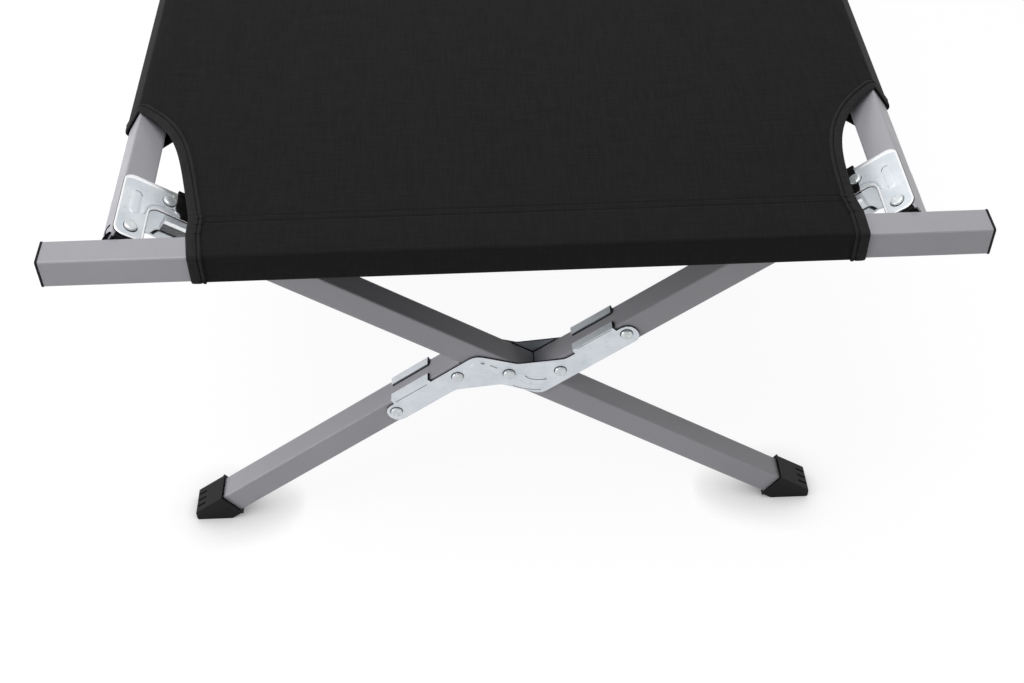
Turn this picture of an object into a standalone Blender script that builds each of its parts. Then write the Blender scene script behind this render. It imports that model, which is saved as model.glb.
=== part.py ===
"""Folding camp bed: two jointed side rails on three scissor legs, two end bars and a cloth cover.

Metres, +Z up. X runs across the bed, Y along it, with the front end at -Y and the floor at Z = 0.
Every frame piece is drawn in the frame of the half it swings with: an empty on the legs' common
pivot axis, turned so that its own X lies along the legs and its own Z is square to them.
"""
import math

import bmesh
import bpy
from mathutils import Matrix, Vector

# Driving sizes of the whole bed
BED_LENGTH = 1.900
BAR_LENGTH = 0.730
RAIL_X = 0.307
RAIL_Z = 0.393
PIVOT_X = -0.007
PIVOT_Z = 0.1915
LEG_INSET = 0.0865          # end face of the bed to the middle of the end legs

# Square tube
TUBE = 0.025
WALL = 0.0012
TUBE_ROUND = 0.0015
GAP = 0.0003                # clearance between pieces that touch
SLIP = 0.0006               # clearance on the width of a plug in its tube

# Scissor legs
HALF_LEG_OFFSET = 0.0265    # half legs stand this far off the middle line, so the frame closes flat
PLATE = 0.0015
RIVET_NEAR = 0.038
RIVET_FAR = 0.110
RIVET_RADIUS = 0.0030
RIVET_HOLE = 0.0034
HEAD_RADIUS = 0.0050
HEAD_HEIGHT = 0.0023
RIVET_SIDES = 8
TAB_REACH = 0.0068          # how far a plate's lip reaches over its tube
TAB_LENGTH = 0.043
TAB_BEVEL = 0.0008          # the plate's edge slopes up to a lip over this length
PLATE_TIP = 0.0095          # from the far rivet to the plate's end
PLATE_EDGE = 0.0095         # from the half legs' middle line to the plate's sides
PLATE_CROWN = 0.0105        # the same, towards the pivot
MITRE_REACH = 0.100         # size of the block that stands for the through leg in a half leg's cut
LIP_START = 0.0055          # from the far rivet back to a lip's outer end

# Pressed ribs on the sheet metal
RIB_HEIGHT = 0.0006
RIB_WIDTH = 0.0072
ARC_RIB_WIDTH = 0.0030
RIB_TURNS = 4               # straight runs along a curved rib

# Brackets between rails and legs, measured inwards from the rail's middle line
ARM_RIVET = 0.026
ARM_END = 0.033
WEB_END = 0.050
WEB_TALL = 0.022            # up to here the web is as tall as the tube
WEB_LOW = 0.0046            # past it, the web ends this far under the leg's middle line
WEB_BEND = 0.003            # slope between the tall and the low part of the web
WEB_FOOT = 0.0070           # the lower plate's upstand ends this far under the leg's middle line
BEAD_START = 0.0262         # pressed bead along the low part of the web
BEAD_TOP = 0.0123
BEAD_CREST = 0.0088
BEAD_DEPTH = 0.0026
WEB_LIP = 0.0050            # width of the strip over the leg, along the web
SEAT = 0.0001               # the web is this much lower than the plates' outer faces
RAIL_ARM = 0.058            # from the leg's middle plane along the rail
RAIL_ARM_EDGE = 0.0116
BRACKET_BACK = 0.0138       # from the leg's middle plane to the bracket's rear edge
OBROUND_NEAR = 0.0040       # straight rib on the rail plate, from the leg's middle plane
OBROUND_FAR = 0.0300
RAIL_RIVET = 0.0465
MIDDLE_ARM = 0.048
MIDDLE_EDGE = 0.009         # narrower than the rail, inside the cover's sleeve
MIDDLE_RIVET = 0.034
LEG_END_BLOCK = 0.058       # plastic block on the leg's top end, up to the tube
COLLAR = 0.0015             # the block is this much wider behind, outside the bracket
PLUG_DEPTH = 0.022

# Side rails
RAIL_PLUG = 0.026           # long enough for the rail's rivet to hold it
RAIL_JOINT = 0.0006         # half the gap between a rail's two halves
NOTCH_WIDTH = 0.020         # opening in the rail's upper face, where the plug shows
NOTCH_LENGTH = 0.0078
NOTCH_ROUND = 0.0060

# Feet
FOOT_WIDTH = 0.029
FOOT_LENGTH = 0.0415
FOOT_SOLE = 0.0035          # plastic under the tube's lowest corner
FOOT_HEEL = {"left": 0.0146, "right": 0.0117}   # from the cup's mouth to where its underside meets the floor
FOOT_RIM = 0.0006           # the mouth's lip stands out by this much
RIM_WIDTH = 0.0016
GROOVE = 0.0010
GROOVE_PITCH = 0.0075
GROOVE_LENGTH = 0.0175
TOE_REACH = 0.0003          # the toe's most forward point, past the cup's length
TOE_HEIGHT = 0.0065
TOE_UNDERCUT = 0.0085
TOE_SLOPE = 0.0055
CUP_DEPTH = 0.002           # the slot for the tube's wall runs past the tube's end by this much

# End bars and rail ends
PIN_RADIUS = 0.0035
PIN_HOLE = 0.0045
PIN_LENGTH = 0.009
CAP_FLANGE = 0.0016

# Cover
CLOTH = 0.0010
SLEEVE_SEAM_X = 0.245       # seam that closes a side sleeve
HEM_SEAM = 0.0325           # from the bar's middle line to the seam that closes an end sleeve
CORNER_LENGTH = 0.170       # from the bar's middle line to where the cover reaches the rail
SAG = 0.005
LEG_OPENING = 0.062         # half length of the opening in a side sleeve for the middle leg
SLEEVE_START = 0.0008       # a side sleeve begins this far under its rail's upper edge
SEAM_DROP = 0.0003          # a sleeve's lower layer ends this far under the sheet at its seam

# Half width of the cover at the front of the bar, at the back of it and at the hem seam. From there the
# edge runs out to the rail: a straight share of the way, and the rest by a power of the length.
EDGE_LEFT = {"front": 0.2510, "back": 0.2545, "hem": 0.2545, "straight": 0.50, "power": 5.5}
EDGE_RIGHT = {"front": 0.2682, "back": 0.2672, "hem": 0.2660, "straight": 0.0, "power": 3.5}
EDGE_PAST_RAIL = 0.0042     # the sheet reaches this far past the rail's middle line

HALF = TUBE / 2
BAR_Y = BED_LENGTH / 2 - HALF
LEG_Y = BED_LENGTH / 2 - LEG_INSET
THROUGH_ANGLE = math.atan2(RAIL_Z - PIVOT_Z, RAIL_X + PIVOT_X)
THROUGH_REACH = math.hypot(RAIL_Z - PIVOT_Z, RAIL_X + PIVOT_X)
SPLIT_SPAN = math.hypot(RAIL_Z - PIVOT_Z, RAIL_X - PIVOT_X)
SPLIT_ANGLE = math.atan2(RAIL_Z - PIVOT_Z, RAIL_X - PIVOT_X) + math.asin(HALF_LEG_OFFSET / SPLIT_SPAN)
SPLIT_REACH = math.sqrt(SPLIT_SPAN ** 2 - HALF_LEG_OFFSET ** 2)
SCISSOR_ANGLE = THROUGH_ANGLE + SPLIT_ANGLE
STATIONS = {"front": -LEG_Y, "middle": 0.0, "rear": LEG_Y}
END_SIGN = {"front": -1.0, "middle": 0.0, "rear": 1.0}


for old in list(bpy.data.objects):
    bpy.data.objects.remove(old, do_unlink=True)

PARTS = bpy.data.collections.new("folding_camp_bed")
CUTTERS = bpy.data.collections.new("cutters")
bpy.context.scene.collection.children.link(PARTS)
bpy.context.scene.collection.children.link(CUTTERS)


def material(name, colour, roughness, metallic):
    made = bpy.data.materials.new(name)
    made.use_nodes = True
    shader = made.node_tree.nodes["Principled BSDF"]
    shader.inputs["Base Color"].default_value = (*colour, 1.0)
    shader.inputs["Roughness"].default_value = roughness
    shader.inputs["Metallic"].default_value = metallic
    return made


GREY_TUBE = material("grey_powder_coated_tube", (0.26, 0.255, 0.28), 0.45, 0.6)
ZINC = material("zinc_plated_steel", (0.68, 0.72, 0.76), 0.32, 1.0)
BLACK_PLASTIC = material("black_plastic", (0.012, 0.012, 0.013), 0.45, 0.0)
BLACK_CLOTH = material("black_oxford_cloth", (0.018, 0.018, 0.019), 0.85, 0.0)


def empty(name, location, turn):
    made = bpy.data.objects.new(name, None)
    made.location = location
    made.rotation_euler = (0.0, turn, 0.0)
    PARTS.objects.link(made)
    return made


RIGHT_FRAME = empty("right_frame_pivot", (PIVOT_X, 0.0, PIVOT_Z), -SPLIT_ANGLE)
LEFT_FRAME = empty("left_frame_pivot", (PIVOT_X, 0.0, PIVOT_Z), THROUGH_ANGLE)
FRONT_BAR = empty("front_bar_slide", (0.0, -BAR_Y, RAIL_Z), 0.0)
REAR_BAR = empty("rear_bar_slide", (0.0, BAR_Y, RAIL_Z), 0.0)


def frame_matrix(frame):
    return Matrix.Translation(frame.location) @ frame.rotation_euler.to_matrix().to_4x4()


def link_mesh(name, mesh, finish=None, frame=None):
    """Puts a mesh in the scene: a part if it has a finish, otherwise a cutter."""
    made = bpy.data.objects.new(name, mesh)
    if finish:
        PARTS.objects.link(made)
        mesh.materials.clear()
        mesh.materials.append(finish)
    else:
        CUTTERS.objects.link(made)
        made.hide_render = True
        made.display_type = "WIRE"
    if frame:
        made.parent = frame
    return made


def finish_bmesh(shape, name):
    bmesh.ops.recalc_face_normals(shape, faces=shape.faces)
    mesh = bpy.data.meshes.new(name)
    shape.to_mesh(mesh)
    shape.free()
    return mesh


def add_box(shape, low, high):
    """Adds a box between two corners to a bmesh and returns its vertices."""
    low, high = Vector(low), Vector(high)
    scale = Matrix.Diagonal((*(high - low), 1.0))
    return bmesh.ops.create_cube(shape, size=1.0, matrix=Matrix.Translation((low + high) / 2) @ scale)["verts"]


def box_mesh(name, *boxes):
    shape = bmesh.new()
    for low, high in boxes:
        add_box(shape, low, high)
    return finish_bmesh(shape, name)


def rounded(corners, steps=3):
    """Turns (x, y, radius) corners of a closed outline into points, with an arc in each corner."""
    points = []
    for index, (x, y, radius) in enumerate(corners):
        here = Vector((x, y))
        before = Vector(corners[index - 1][:2]) - here
        after = Vector(corners[(index + 1) % len(corners)][:2]) - here
        if radius <= 0.0:
            points.append(here)
            continue
        half_angle = before.angle(after) / 2
        reach = radius / math.tan(half_angle)
        start = here + before.normalized() * reach
        end = here + after.normalized() * reach
        centre = here + (before.normalized() + after.normalized()).normalized() * radius / math.sin(half_angle)
        first = start - centre
        sweep = first.angle_signed(end - centre)
        for step in range(steps + 1):
            turn = Matrix.Rotation(-sweep * step / steps, 2)
            points.append(centre + turn @ first)
    return points


def square(width, radius=0.0, steps=2):
    half = width / 2
    corners = [(-half, -half, radius), (half, -half, radius), (half, half, radius), (-half, half, radius)]
    return rounded(corners, steps)


def extruded(name, loops, depth, matrix):
    """A flat 2D curve of closed loops, given a depth, as a mesh laid by a matrix."""
    curve = bpy.data.curves.new(name, "CURVE")
    curve.dimensions = "2D"
    curve.fill_mode = "BOTH"
    curve.extrude = depth / 2
    for loop in loops:
        spline = curve.splines.new("POLY")
        spline.points.add(len(loop) - 1)
        for point, (x, y) in zip(spline.points, loop):
            point.co = (x, y, 0.0, 1.0)
        spline.use_cyclic_u = True
    outline = bpy.data.objects.new(name + "_outline", curve)
    CUTTERS.objects.link(outline)
    bpy.context.view_layer.update()
    seen = outline.evaluated_get(bpy.context.evaluated_depsgraph_get())
    mesh = bpy.data.meshes.new_from_object(seen)
    bpy.data.objects.remove(outline, do_unlink=True)
    shape = bmesh.new()
    shape.from_mesh(mesh)
    bmesh.ops.remove_doubles(shape, verts=shape.verts, dist=0.00001)
    bmesh.ops.transform(shape, matrix=matrix, verts=shape.verts)
    bpy.data.meshes.remove(mesh)
    return finish_bmesh(shape, name)


# Laying matrices: an outline drawn in its own X and Y, and where that plane goes
FACING_Z = Matrix.Identity(4)
FACING_Y = Matrix(((1, 0, 0, 0), (0, 0, 1, 0), (0, 1, 0, 0), (0, 0, 0, 1)))
FACING_X = Matrix(((0, 0, 1, 0), (1, 0, 0, 0), (0, 1, 0, 0), (0, 0, 0, 1)))


def stroke(path, width, cap_steps):
    """Closed outline of a line of points drawn with a round pen of this width."""
    half = width / 2
    path = [Vector(point) for point in path]
    sides = []
    for index, point in enumerate(path):
        before = path[max(index - 1, 0)]
        after = path[min(index + 1, len(path) - 1)]
        along = (after - before).normalized()
        sides.append(Vector((-along.y, along.x)) * half)
    outline = [point + side for point, side in zip(path, sides)]
    for end, side in ((path[-1], sides[-1]), (path[0], -sides[0])):
        for step in range(1, cap_steps):
            outline.append(end + Matrix.Rotation(-math.pi * step / cap_steps, 2) @ side)
        if end is path[-1]:
            outline += [point - side for point, side in zip(reversed(path), reversed(sides))]
    return outline


def bow(start, middle, end, steps):
    """Points along the arc-like curve that starts and ends here and passes the middle point half way."""
    start, middle, end = Vector(start), Vector(middle), Vector(end)
    pull = middle * 2 - (start + end) / 2
    points = []
    for step in range(steps + 1):
        t = step / steps
        points.append(start * (1 - t) ** 2 + pull * 2 * t * (1 - t) + end * t ** 2)
    return points


def tube_mesh(name, start, end, centre, along):
    """Square tube from start to end along X or Y, with its middle line at centre (other two axes)."""
    middle = (start + end) / 2
    if along == "X":
        place = Matrix.Translation((middle, centre[0], centre[1])) @ FACING_X
    else:
        place = Matrix.Translation((centre[0], middle, centre[1])) @ FACING_Y
    return extruded(name, [square(TUBE, TUBE_ROUND), square(TUBE - 2 * WALL)], end - start, place)


def boolean(target, cutter, operation):
    step = target.modifiers.new(operation.lower(), "BOOLEAN")
    step.operation = operation
    step.object = cutter
    step.solver = "EXACT"


def holes(target, frame, centres, radius, axis, length):
    """Cuts round holes through a piece, all along one axis of its frame."""
    shape = bmesh.new()
    for centre in centres:
        turn = {"Y": Matrix.Rotation(math.pi / 2, 4, "X"), "Z": Matrix.Identity(4)}[axis]
        bmesh.ops.create_cone(shape, cap_ends=True, segments=RIVET_SIDES, radius1=radius, radius2=radius,
                              depth=length, matrix=Matrix.Translation(centre) @ turn)
    mesh = finish_bmesh(shape, target.name + "_holes")
    boolean(target, link_mesh(mesh.name, mesh, frame=frame), "DIFFERENCE")


def add_rivet(shape, centre, axis, span, tail_gap):
    """Adds a domed rivet: its first head lies on the span's low end, its tail head past the other end."""
    dome = [(HEAD_RADIUS, 0.0), (HEAD_RADIUS * 0.72, HEAD_HEIGHT * 0.75)]
    half = span / 2
    low = [(0.0, -half - HEAD_HEIGHT)] + [(r, -half - h) for r, h in reversed(dome)]
    high = [(r, half + tail_gap + h) for r, h in dome] + [(0.0, half + tail_gap + HEAD_HEIGHT)]
    shank = [(RIVET_RADIUS, -half), (RIVET_RADIUS, half + tail_gap)]
    turn = {"Y": Matrix.Rotation(-math.pi / 2, 4, "X"), "Z": Matrix.Identity(4)}[axis]
    place = Matrix.Translation(centre) @ turn
    profile = [shape.verts.new((r, 0.0, h)) for r, h in low + shank + high]
    edges = [shape.edges.new(pair) for pair in zip(profile, profile[1:])]
    made = bmesh.ops.spin(shape, geom=profile + edges, cent=(0, 0, 0), axis=(0, 0, 1), angle=2 * math.pi,
                          steps=RIVET_SIDES, use_merge=True)
    last = [item for item in made["geom_last"] if isinstance(item, bmesh.types.BMVert)]
    seeds = [vertex for vertex in profile + last if vertex.is_valid]
    bmesh.ops.remove_doubles(shape, verts=linked_vertices(seeds), dist=0.000001)
    whole = linked_vertices([vertex for vertex in seeds if vertex.is_valid])
    bmesh.ops.transform(shape, matrix=place, verts=whole)


def linked_vertices(seeds):
    """Every vertex joined to the seeds by edges."""
    known = set(seeds)
    queue = list(seeds)
    while queue:
        for edge in queue.pop().link_edges:
            for vertex in edge.verts:
                if vertex not in known:
                    known.add(vertex)
                    queue.append(vertex)
    return list(known)


def rivets(target, frame, centres, axis, span, tail_gap):
    """Joins whole rivets to the sheet piece whose side they are headed on."""
    shape = bmesh.new()
    for centre in centres:
        add_rivet(shape, centre, axis, span, tail_gap)
    mesh = finish_bmesh(shape, target.name + "_rivets")
    boolean(target, link_mesh(mesh.name, mesh, frame=frame), "UNION")


def smooth(part, angle=40.0):
    """Applies the cuts and joins, and shades the finished shape smooth except at its edges."""
    bpy.context.view_layer.update()
    seen = part.evaluated_get(bpy.context.evaluated_depsgraph_get())
    mesh = bpy.data.meshes.new_from_object(seen)
    part.modifiers.clear()
    part.data = mesh
    mesh.shade_smooth()
    mesh.set_sharp_from_angle(angle=math.radians(angle))


# Side rails: two halves a side, joined at the middle bracket, with a plug and pin at the outer end

def rail_line(side):
    """A rail's middle line in its frame, as along the legs and square to them."""
    return (-THROUGH_REACH, 0.0) if side == "left" else (SPLIT_REACH, -HALF_LEG_OFFSET)


def inward(side):
    return 1.0 if side == "left" else -1.0


def frame_of(side):
    return LEFT_FRAME if side == "left" else RIGHT_FRAME


def rail(side, end):
    sign = END_SIGN[end]
    frame = frame_of(side)
    x, z = rail_line(side)
    face = sign * (BAR_Y - HALF - GAP)
    low, high = sorted((face, sign * RAIL_JOINT))
    name = f"{side}_rail_{end}_half"
    part = link_mesh(name, tube_mesh(name, low, high, (x, z), "Y"), GREY_TUBE, frame)
    notch = notch_mesh(name + "_notch", x, face, z + HALF, sign, 0.0, 2 * WALL + SLIP)
    boolean(part, link_mesh(notch.name, notch, frame=frame), "DIFFERENCE")
    centres = [(x, sign * (LEG_Y + RAIL_RIVET), z), (x, sign * MIDDLE_RIVET, z)]
    holes(part, frame, centres, RIVET_HOLE, "Z", 2 * TUBE)
    smooth(part)
    plug(side, end, x, z, sign)


def notch_mesh(name, x, face, top, sign, inset, thickness):
    """Block of the outline of a rail's notch, smaller all round by an inset, with its middle at a height."""
    half = NOTCH_WIDTH / 2 - inset
    outer = inset if inset else -2 * GAP
    inner = NOTCH_LENGTH - inset
    outline = rounded([(-half, outer, 0.0), (half, outer, 0.0), (half, inner, NOTCH_ROUND),
                       (-half, inner, NOTCH_ROUND)])
    loop = [(x + a, face - sign * b) for a, b in outline]
    return extruded(name, [loop], thickness, Matrix.Translation((0.0, 0.0, top)) @ FACING_Z)


def plug(side, end, x, z, sign):
    """Plastic plug in the rail's outer end. It fills the notch, and its pin goes into the end bar."""
    frame = frame_of(side)
    name = f"{side}_rail_{end}_plug"
    face = sign * (BAR_Y - HALF - GAP)
    half = (TUBE - 2 * WALL - SLIP) / 2
    low, high = sorted((face - sign * GAP, face - sign * RAIL_PLUG))
    part = link_mesh(name, box_mesh(name, ((x - half, low, z - half), (x + half, high, z + half))),
                     BLACK_PLASTIC, frame)
    pad_height = WALL + SLIP
    pad = notch_mesh(name + "_pad", x, face, z + HALF - pad_height / 2, sign, GAP, pad_height)
    boolean(part, link_mesh(pad.name, pad, frame=frame), "UNION")
    shape = bmesh.new()
    turn = Matrix.Rotation(-sign * math.pi / 2, 4, "X")
    length = PIN_LENGTH + WALL
    middle = face + sign * (PIN_LENGTH - length / 2)
    bmesh.ops.create_cone(shape, cap_ends=True, segments=12, radius1=PIN_RADIUS, radius2=PIN_RADIUS * 0.8,
                          depth=length, matrix=Matrix.Translation((x, middle, z)) @ turn)
    pin = finish_bmesh(shape, name + "_pin")
    boolean(part, link_mesh(pin.name, pin, frame=frame), "UNION")
    holes(part, frame, [(x, sign * (LEG_Y + RAIL_RIVET), z)], RIVET_HOLE, "Z", 2 * TUBE)
    smooth(part)


# Scissor legs

def through_leg(station, y):
    """The one-piece leg: rail at the upper left, foot at the lower right."""
    name = f"{station}_through_leg"
    start = -THROUGH_REACH + LEG_END_BLOCK + GAP
    end = foot_seat("right")
    part = link_mesh(name, tube_mesh(name, start, end, (y, 0.0), "X"), GREY_TUBE, LEFT_FRAME)
    holes(part, LEFT_FRAME, [(0.0, y, 0.0)], RIVET_HOLE, "Y", 2 * TUBE)
    smooth(part)


def half_leg(station, y, which):
    """One of the two half legs, cut to rest flat on the through leg when the bed is open."""
    name = f"{station}_{which}_half_leg"
    upper = which == "upper"
    z = -HALF_LEG_OFFSET if upper else HALF_LEG_OFFSET
    sign = 1.0 if upper else -1.0
    outer = SPLIT_REACH - LEG_END_BLOCK - GAP if upper else foot_seat("left")
    low, high = sorted((0.0, sign * outer))
    part = link_mesh(name, tube_mesh(name, low, high, (y, z), "X"), GREY_TUBE, RIGHT_FRAME)
    # The through leg's top, seen from this frame, leans by the scissor angle. What lies under it goes.
    rest = link_mesh(name + "_mitre", box_mesh(name + "_mitre", ((-MITRE_REACH, -TUBE, -MITRE_REACH),
                                                                 (MITRE_REACH, TUBE, HALF + GAP))))
    turn = SCISSOR_ANGLE if upper else SCISSOR_ANGLE + math.pi
    rest.parent = RIGHT_FRAME
    rest.location = (0.0, y, 0.0)
    rest.rotation_euler = (0.0, turn, 0.0)
    boolean(part, rest, "DIFFERENCE")
    holes(part, RIGHT_FRAME, [(sign * RIVET_NEAR, y, z), (sign * RIVET_FAR, y, z)], RIVET_HOLE, "Y", 2 * TUBE)
    smooth(part)


def plate_outline():
    """Outline of the zinc plate, drawn along and square to the half legs, pivot at the origin."""
    lip = HALF_LEG_OFFSET + HALF + GAP + PLATE
    low_lip = -HALF_LEG_OFFSET + HALF + GAP + PLATE
    inner = RIVET_FAR - LIP_START
    outer = inner - TAB_LENGTH
    tip = RIVET_FAR + PLATE_TIP
    left_top = HALF_LEG_OFFSET + PLATE_EDGE - 0.0005
    left_low = HALF_LEG_OFFSET - PLATE_EDGE - 0.0025
    right_top = -HALF_LEG_OFFSET + PLATE_EDGE - 0.0005
    right_low = -HALF_LEG_OFFSET - PLATE_EDGE - 0.0028
    crown = HALF_LEG_OFFSET + PLATE_CROWN - 0.0002
    return rounded([
        (-tip, left_low, 0.009), (-tip, left_top, 0.009), (-inner - TAB_BEVEL, left_top, 0.0), (-inner, lip, 0.0),
        (-outer, lip, 0.0), (-outer + TAB_BEVEL, crown, 0.0), (-0.010, crown, 0.013), (0.0135, 0.0045, 0.013),
        (0.050, right_top, 0.013), (outer - TAB_BEVEL, right_top, 0.0), (outer, low_lip, 0.0),
        (inner, low_lip, 0.0), (inner + TAB_BEVEL, right_top, 0.0), (tip, right_top, 0.009),
        (tip, right_low, 0.009), (0.0065, right_low - 0.0005, 0.011), (-0.0135, -0.0065, 0.013),
        (-0.050, left_low, 0.013)])


def plate_ribs():
    """The two curved ribs pressed in a plate, one on each side of the pivot."""
    path = bow((-0.0056, 0.0092), (-0.0100, 0.0200), (-0.0178, 0.0268), RIB_TURNS)
    return [path, [-point for point in path]]


def leg_plate(station, y, face):
    """One of the two plates that hold the half legs and carry the pivot. The front one has the rivets."""
    sign = -1.0 if face == "front" else 1.0
    name = f"{station}_legs_{face}_plate"
    inner = y + sign * (HALF + GAP)
    middle = inner + sign * PLATE / 2
    mesh = extruded(name, [plate_outline()], PLATE, Matrix.Translation((0.0, middle, 0.0)) @ FACING_Y)
    part = link_mesh(name, mesh, ZINC, RIGHT_FRAME)
    crest = inner + sign * (PLATE + RIB_HEIGHT)
    for number, path in enumerate(plate_ribs(), 1):
        rib = extruded(f"{name}_rib_{number}", [stroke(path, RIB_WIDTH, 4)], abs(crest - middle),
                       Matrix.Translation((0.0, (crest + middle) / 2, 0.0)) @ FACING_Y)
        boolean(part, link_mesh(rib.name, rib, frame=RIGHT_FRAME), "UNION")
    tab_near = RIVET_FAR - LIP_START - TAB_LENGTH
    boxes = []
    for along, z in ((-1.0, HALF_LEG_OFFSET), (1.0, -HALF_LEG_OFFSET)):
        x0, x1 = sorted((along * tab_near, along * (tab_near + TAB_LENGTH)))
        y0, y1 = sorted((middle, inner - sign * TAB_REACH))
        base = z + HALF + GAP
        boxes.append(((x0, y0, base), (x1, y1, base + PLATE)))
    lips = box_mesh(name + "_lips", *boxes)
    boolean(part, link_mesh(lips.name, lips, frame=RIGHT_FRAME), "UNION")
    spots = rivet_spots(y)
    if face == "front":
        span = TUBE + 2 * GAP + 2 * PLATE
        rivets(part, RIGHT_FRAME, spots, "Y", span, GAP)
        holes(part, RIGHT_FRAME, [(0.0, y, 0.0)], RIVET_HOLE, "Y", 3 * TUBE)
    else:
        holes(part, RIGHT_FRAME, spots + [(0.0, y, 0.0)], RIVET_HOLE, "Y", 3 * TUBE)
    smooth(part)


def rivet_spots(y):
    spots = []
    for sign in (-1.0, 1.0):
        for reach in (RIVET_NEAR, RIVET_FAR):
            spots.append((sign * reach, y, -sign * HALF_LEG_OFFSET))
    return spots


def pivot_rivet(station, y):
    name = f"{station}_pivot_rivet"
    shape = bmesh.new()
    add_rivet(shape, (0.0, y - GAP / 2, 0.0), "Y", TUBE + 2 * PLATE + 3 * GAP, GAP)
    part = link_mesh(name, finish_bmesh(shape, name), ZINC, LEFT_FRAME)
    smooth(part)


# Feet: a cup over the tube's end with a plug inside it and a sole that lies flat on the floor

def foot_line(side):
    """Angle of the leg and height of its middle line in its frame. The right foot ends the through leg."""
    return (THROUGH_ANGLE, 0.0) if side == "right" else (SPLIT_ANGLE, HALF_LEG_OFFSET)


def floor_reach(side, height):
    """How far from the pivot, along the leg, the floor lies below a line at this height in the frame."""
    angle, middle = foot_line(side)
    return (PIVOT_Z + (middle + height) * math.cos(angle)) / math.sin(angle)


def foot_seat(side):
    """Where the tube ends, so that the sole has its thickness under the tube's lowest corner."""
    return floor_reach(side, -HALF) - FOOT_SOLE / math.sin(foot_line(side)[0])


def foot(station, y, side):
    name = f"{station}_{side}_foot"
    angle, z = foot_line(side)
    frame = LEFT_FRAME if side == "right" else RIGHT_FRAME
    sign = 1.0 if side == "right" else -1.0
    heel = floor_reach(side, -FOOT_WIDTH / 2)
    mouth = heel - FOOT_HEEL[side]
    toe = mouth + FOOT_LENGTH
    seat = foot_seat(side)
    half = FOOT_WIDTH / 2
    outline = rounded([(mouth, z - half, 0.0), (toe - TOE_UNDERCUT, z - half, 0.0),
                       (toe + TOE_REACH, z + TOE_HEIGHT, 0.004), (toe - TOE_SLOPE, z + half, 0.0025),
                       (mouth, z + half, 0.0)])
    loop = [(sign * x, h) for x, h in outline]
    part = link_mesh(name, extruded(name, [loop], FOOT_WIDTH, Matrix.Translation((0.0, y, 0.0)) @ FACING_Y),
                     BLACK_PLASTIC, frame)
    proud = half + FOOT_RIM
    rim = box_mesh(name + "_rim", ((sign * mouth, y - proud, z - proud),
                                   (sign * (mouth + RIM_WIDTH), y + proud, z + proud)))
    boolean(part, link_mesh(rim.name, rim, frame=frame), "UNION")
    bore = (TUBE - 2 * WALL - SLIP) / 2
    inner = box_mesh(name + "_plug", ((sign * (mouth - PLUG_DEPTH), y - bore, z - bore),
                                      (sign * (mouth + 2 * CUP_DEPTH), y + bore, z + bore)))
    boolean(part, link_mesh(inner.name, inner, frame=frame), "UNION")
    slot_depth = seat + GAP - mouth + CUP_DEPTH
    slot_middle = sign * (mouth - CUP_DEPTH + slot_depth / 2)
    slot = extruded(name + "_slot", [square(TUBE + 2 * GAP, TUBE_ROUND), square(2 * bore)], slot_depth,
                    Matrix.Translation((slot_middle, y, z)) @ FACING_X)
    boolean(part, link_mesh(slot.name, slot, frame=frame), "DIFFERENCE")
    boxes = []
    for step in (-1.0, 0.0, 1.0):
        middle = y + step * GROOVE_PITCH
        x0, x1 = sorted((sign * (toe - GROOVE_LENGTH), sign * (toe + GROOVE)))
        boxes.append(((x0, middle - GROOVE, z + half - GROOVE), (x1, middle + GROOVE, z + half + GROOVE)))
    grooves = box_mesh(name + "_grooves", *boxes)
    boolean(part, link_mesh(grooves.name, grooves, frame=frame), "DIFFERENCE")
    floor = box_mesh(name + "_floor", ((-BAR_LENGTH, -BED_LENGTH, -TUBE), (BAR_LENGTH, BED_LENGTH, 0.0)))
    boolean(part, link_mesh(floor.name, floor), "DIFFERENCE")
    smooth(part)


# Leg tops: a plastic block with a round end that swings in the rail's bracket

def leg_end(station, y, side):
    name = f"{station}_{side}_leg_end"
    frame = frame_of(side)
    x, z = rail_line(side)
    sign = inward(side)
    centre = x + sign * ARM_RIVET
    shoulder = x + sign * LEG_END_BLOCK
    steps = 8
    arc = [(centre - sign * HALF * math.sin(math.pi * k / steps), y + HALF * math.cos(math.pi * k / steps))
           for k in range(steps + 1)]
    loop = [(shoulder, y + HALF)] + arc + [(shoulder, y - HALF)]
    part = link_mesh(name, extruded(name, [loop], TUBE, Matrix.Translation((0.0, 0.0, z)) @ FACING_Z),
                     BLACK_PLASTIC, frame)
    behind = -(END_SIGN[station] or -1.0)
    x0, x1 = sorted((x + sign * (ARM_END + GAP), shoulder))
    y0, y1 = sorted((y, y + behind * (HALF + COLLAR)))
    collar = box_mesh(name + "_collar", ((x0, y0, z - HALF), (x1, y1, z + HALF)))
    boolean(part, link_mesh(collar.name, collar, frame=frame), "UNION")
    bore = (TUBE - 2 * WALL - SLIP) / 2
    x0, x1 = sorted((shoulder - sign * WALL, shoulder + sign * PLUG_DEPTH))
    tongue = box_mesh(name + "_plug", ((x0, y - bore, z - bore), (x1, y + bore, z + bore)))
    boolean(part, link_mesh(tongue.name, tongue, frame=frame), "UNION")
    holes(part, frame, [(centre, y, z)], RIVET_HOLE, "Z", 2 * TUBE)
    smooth(part)


# Rail brackets: upper and lower plates joined by a web in front of the leg

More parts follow.
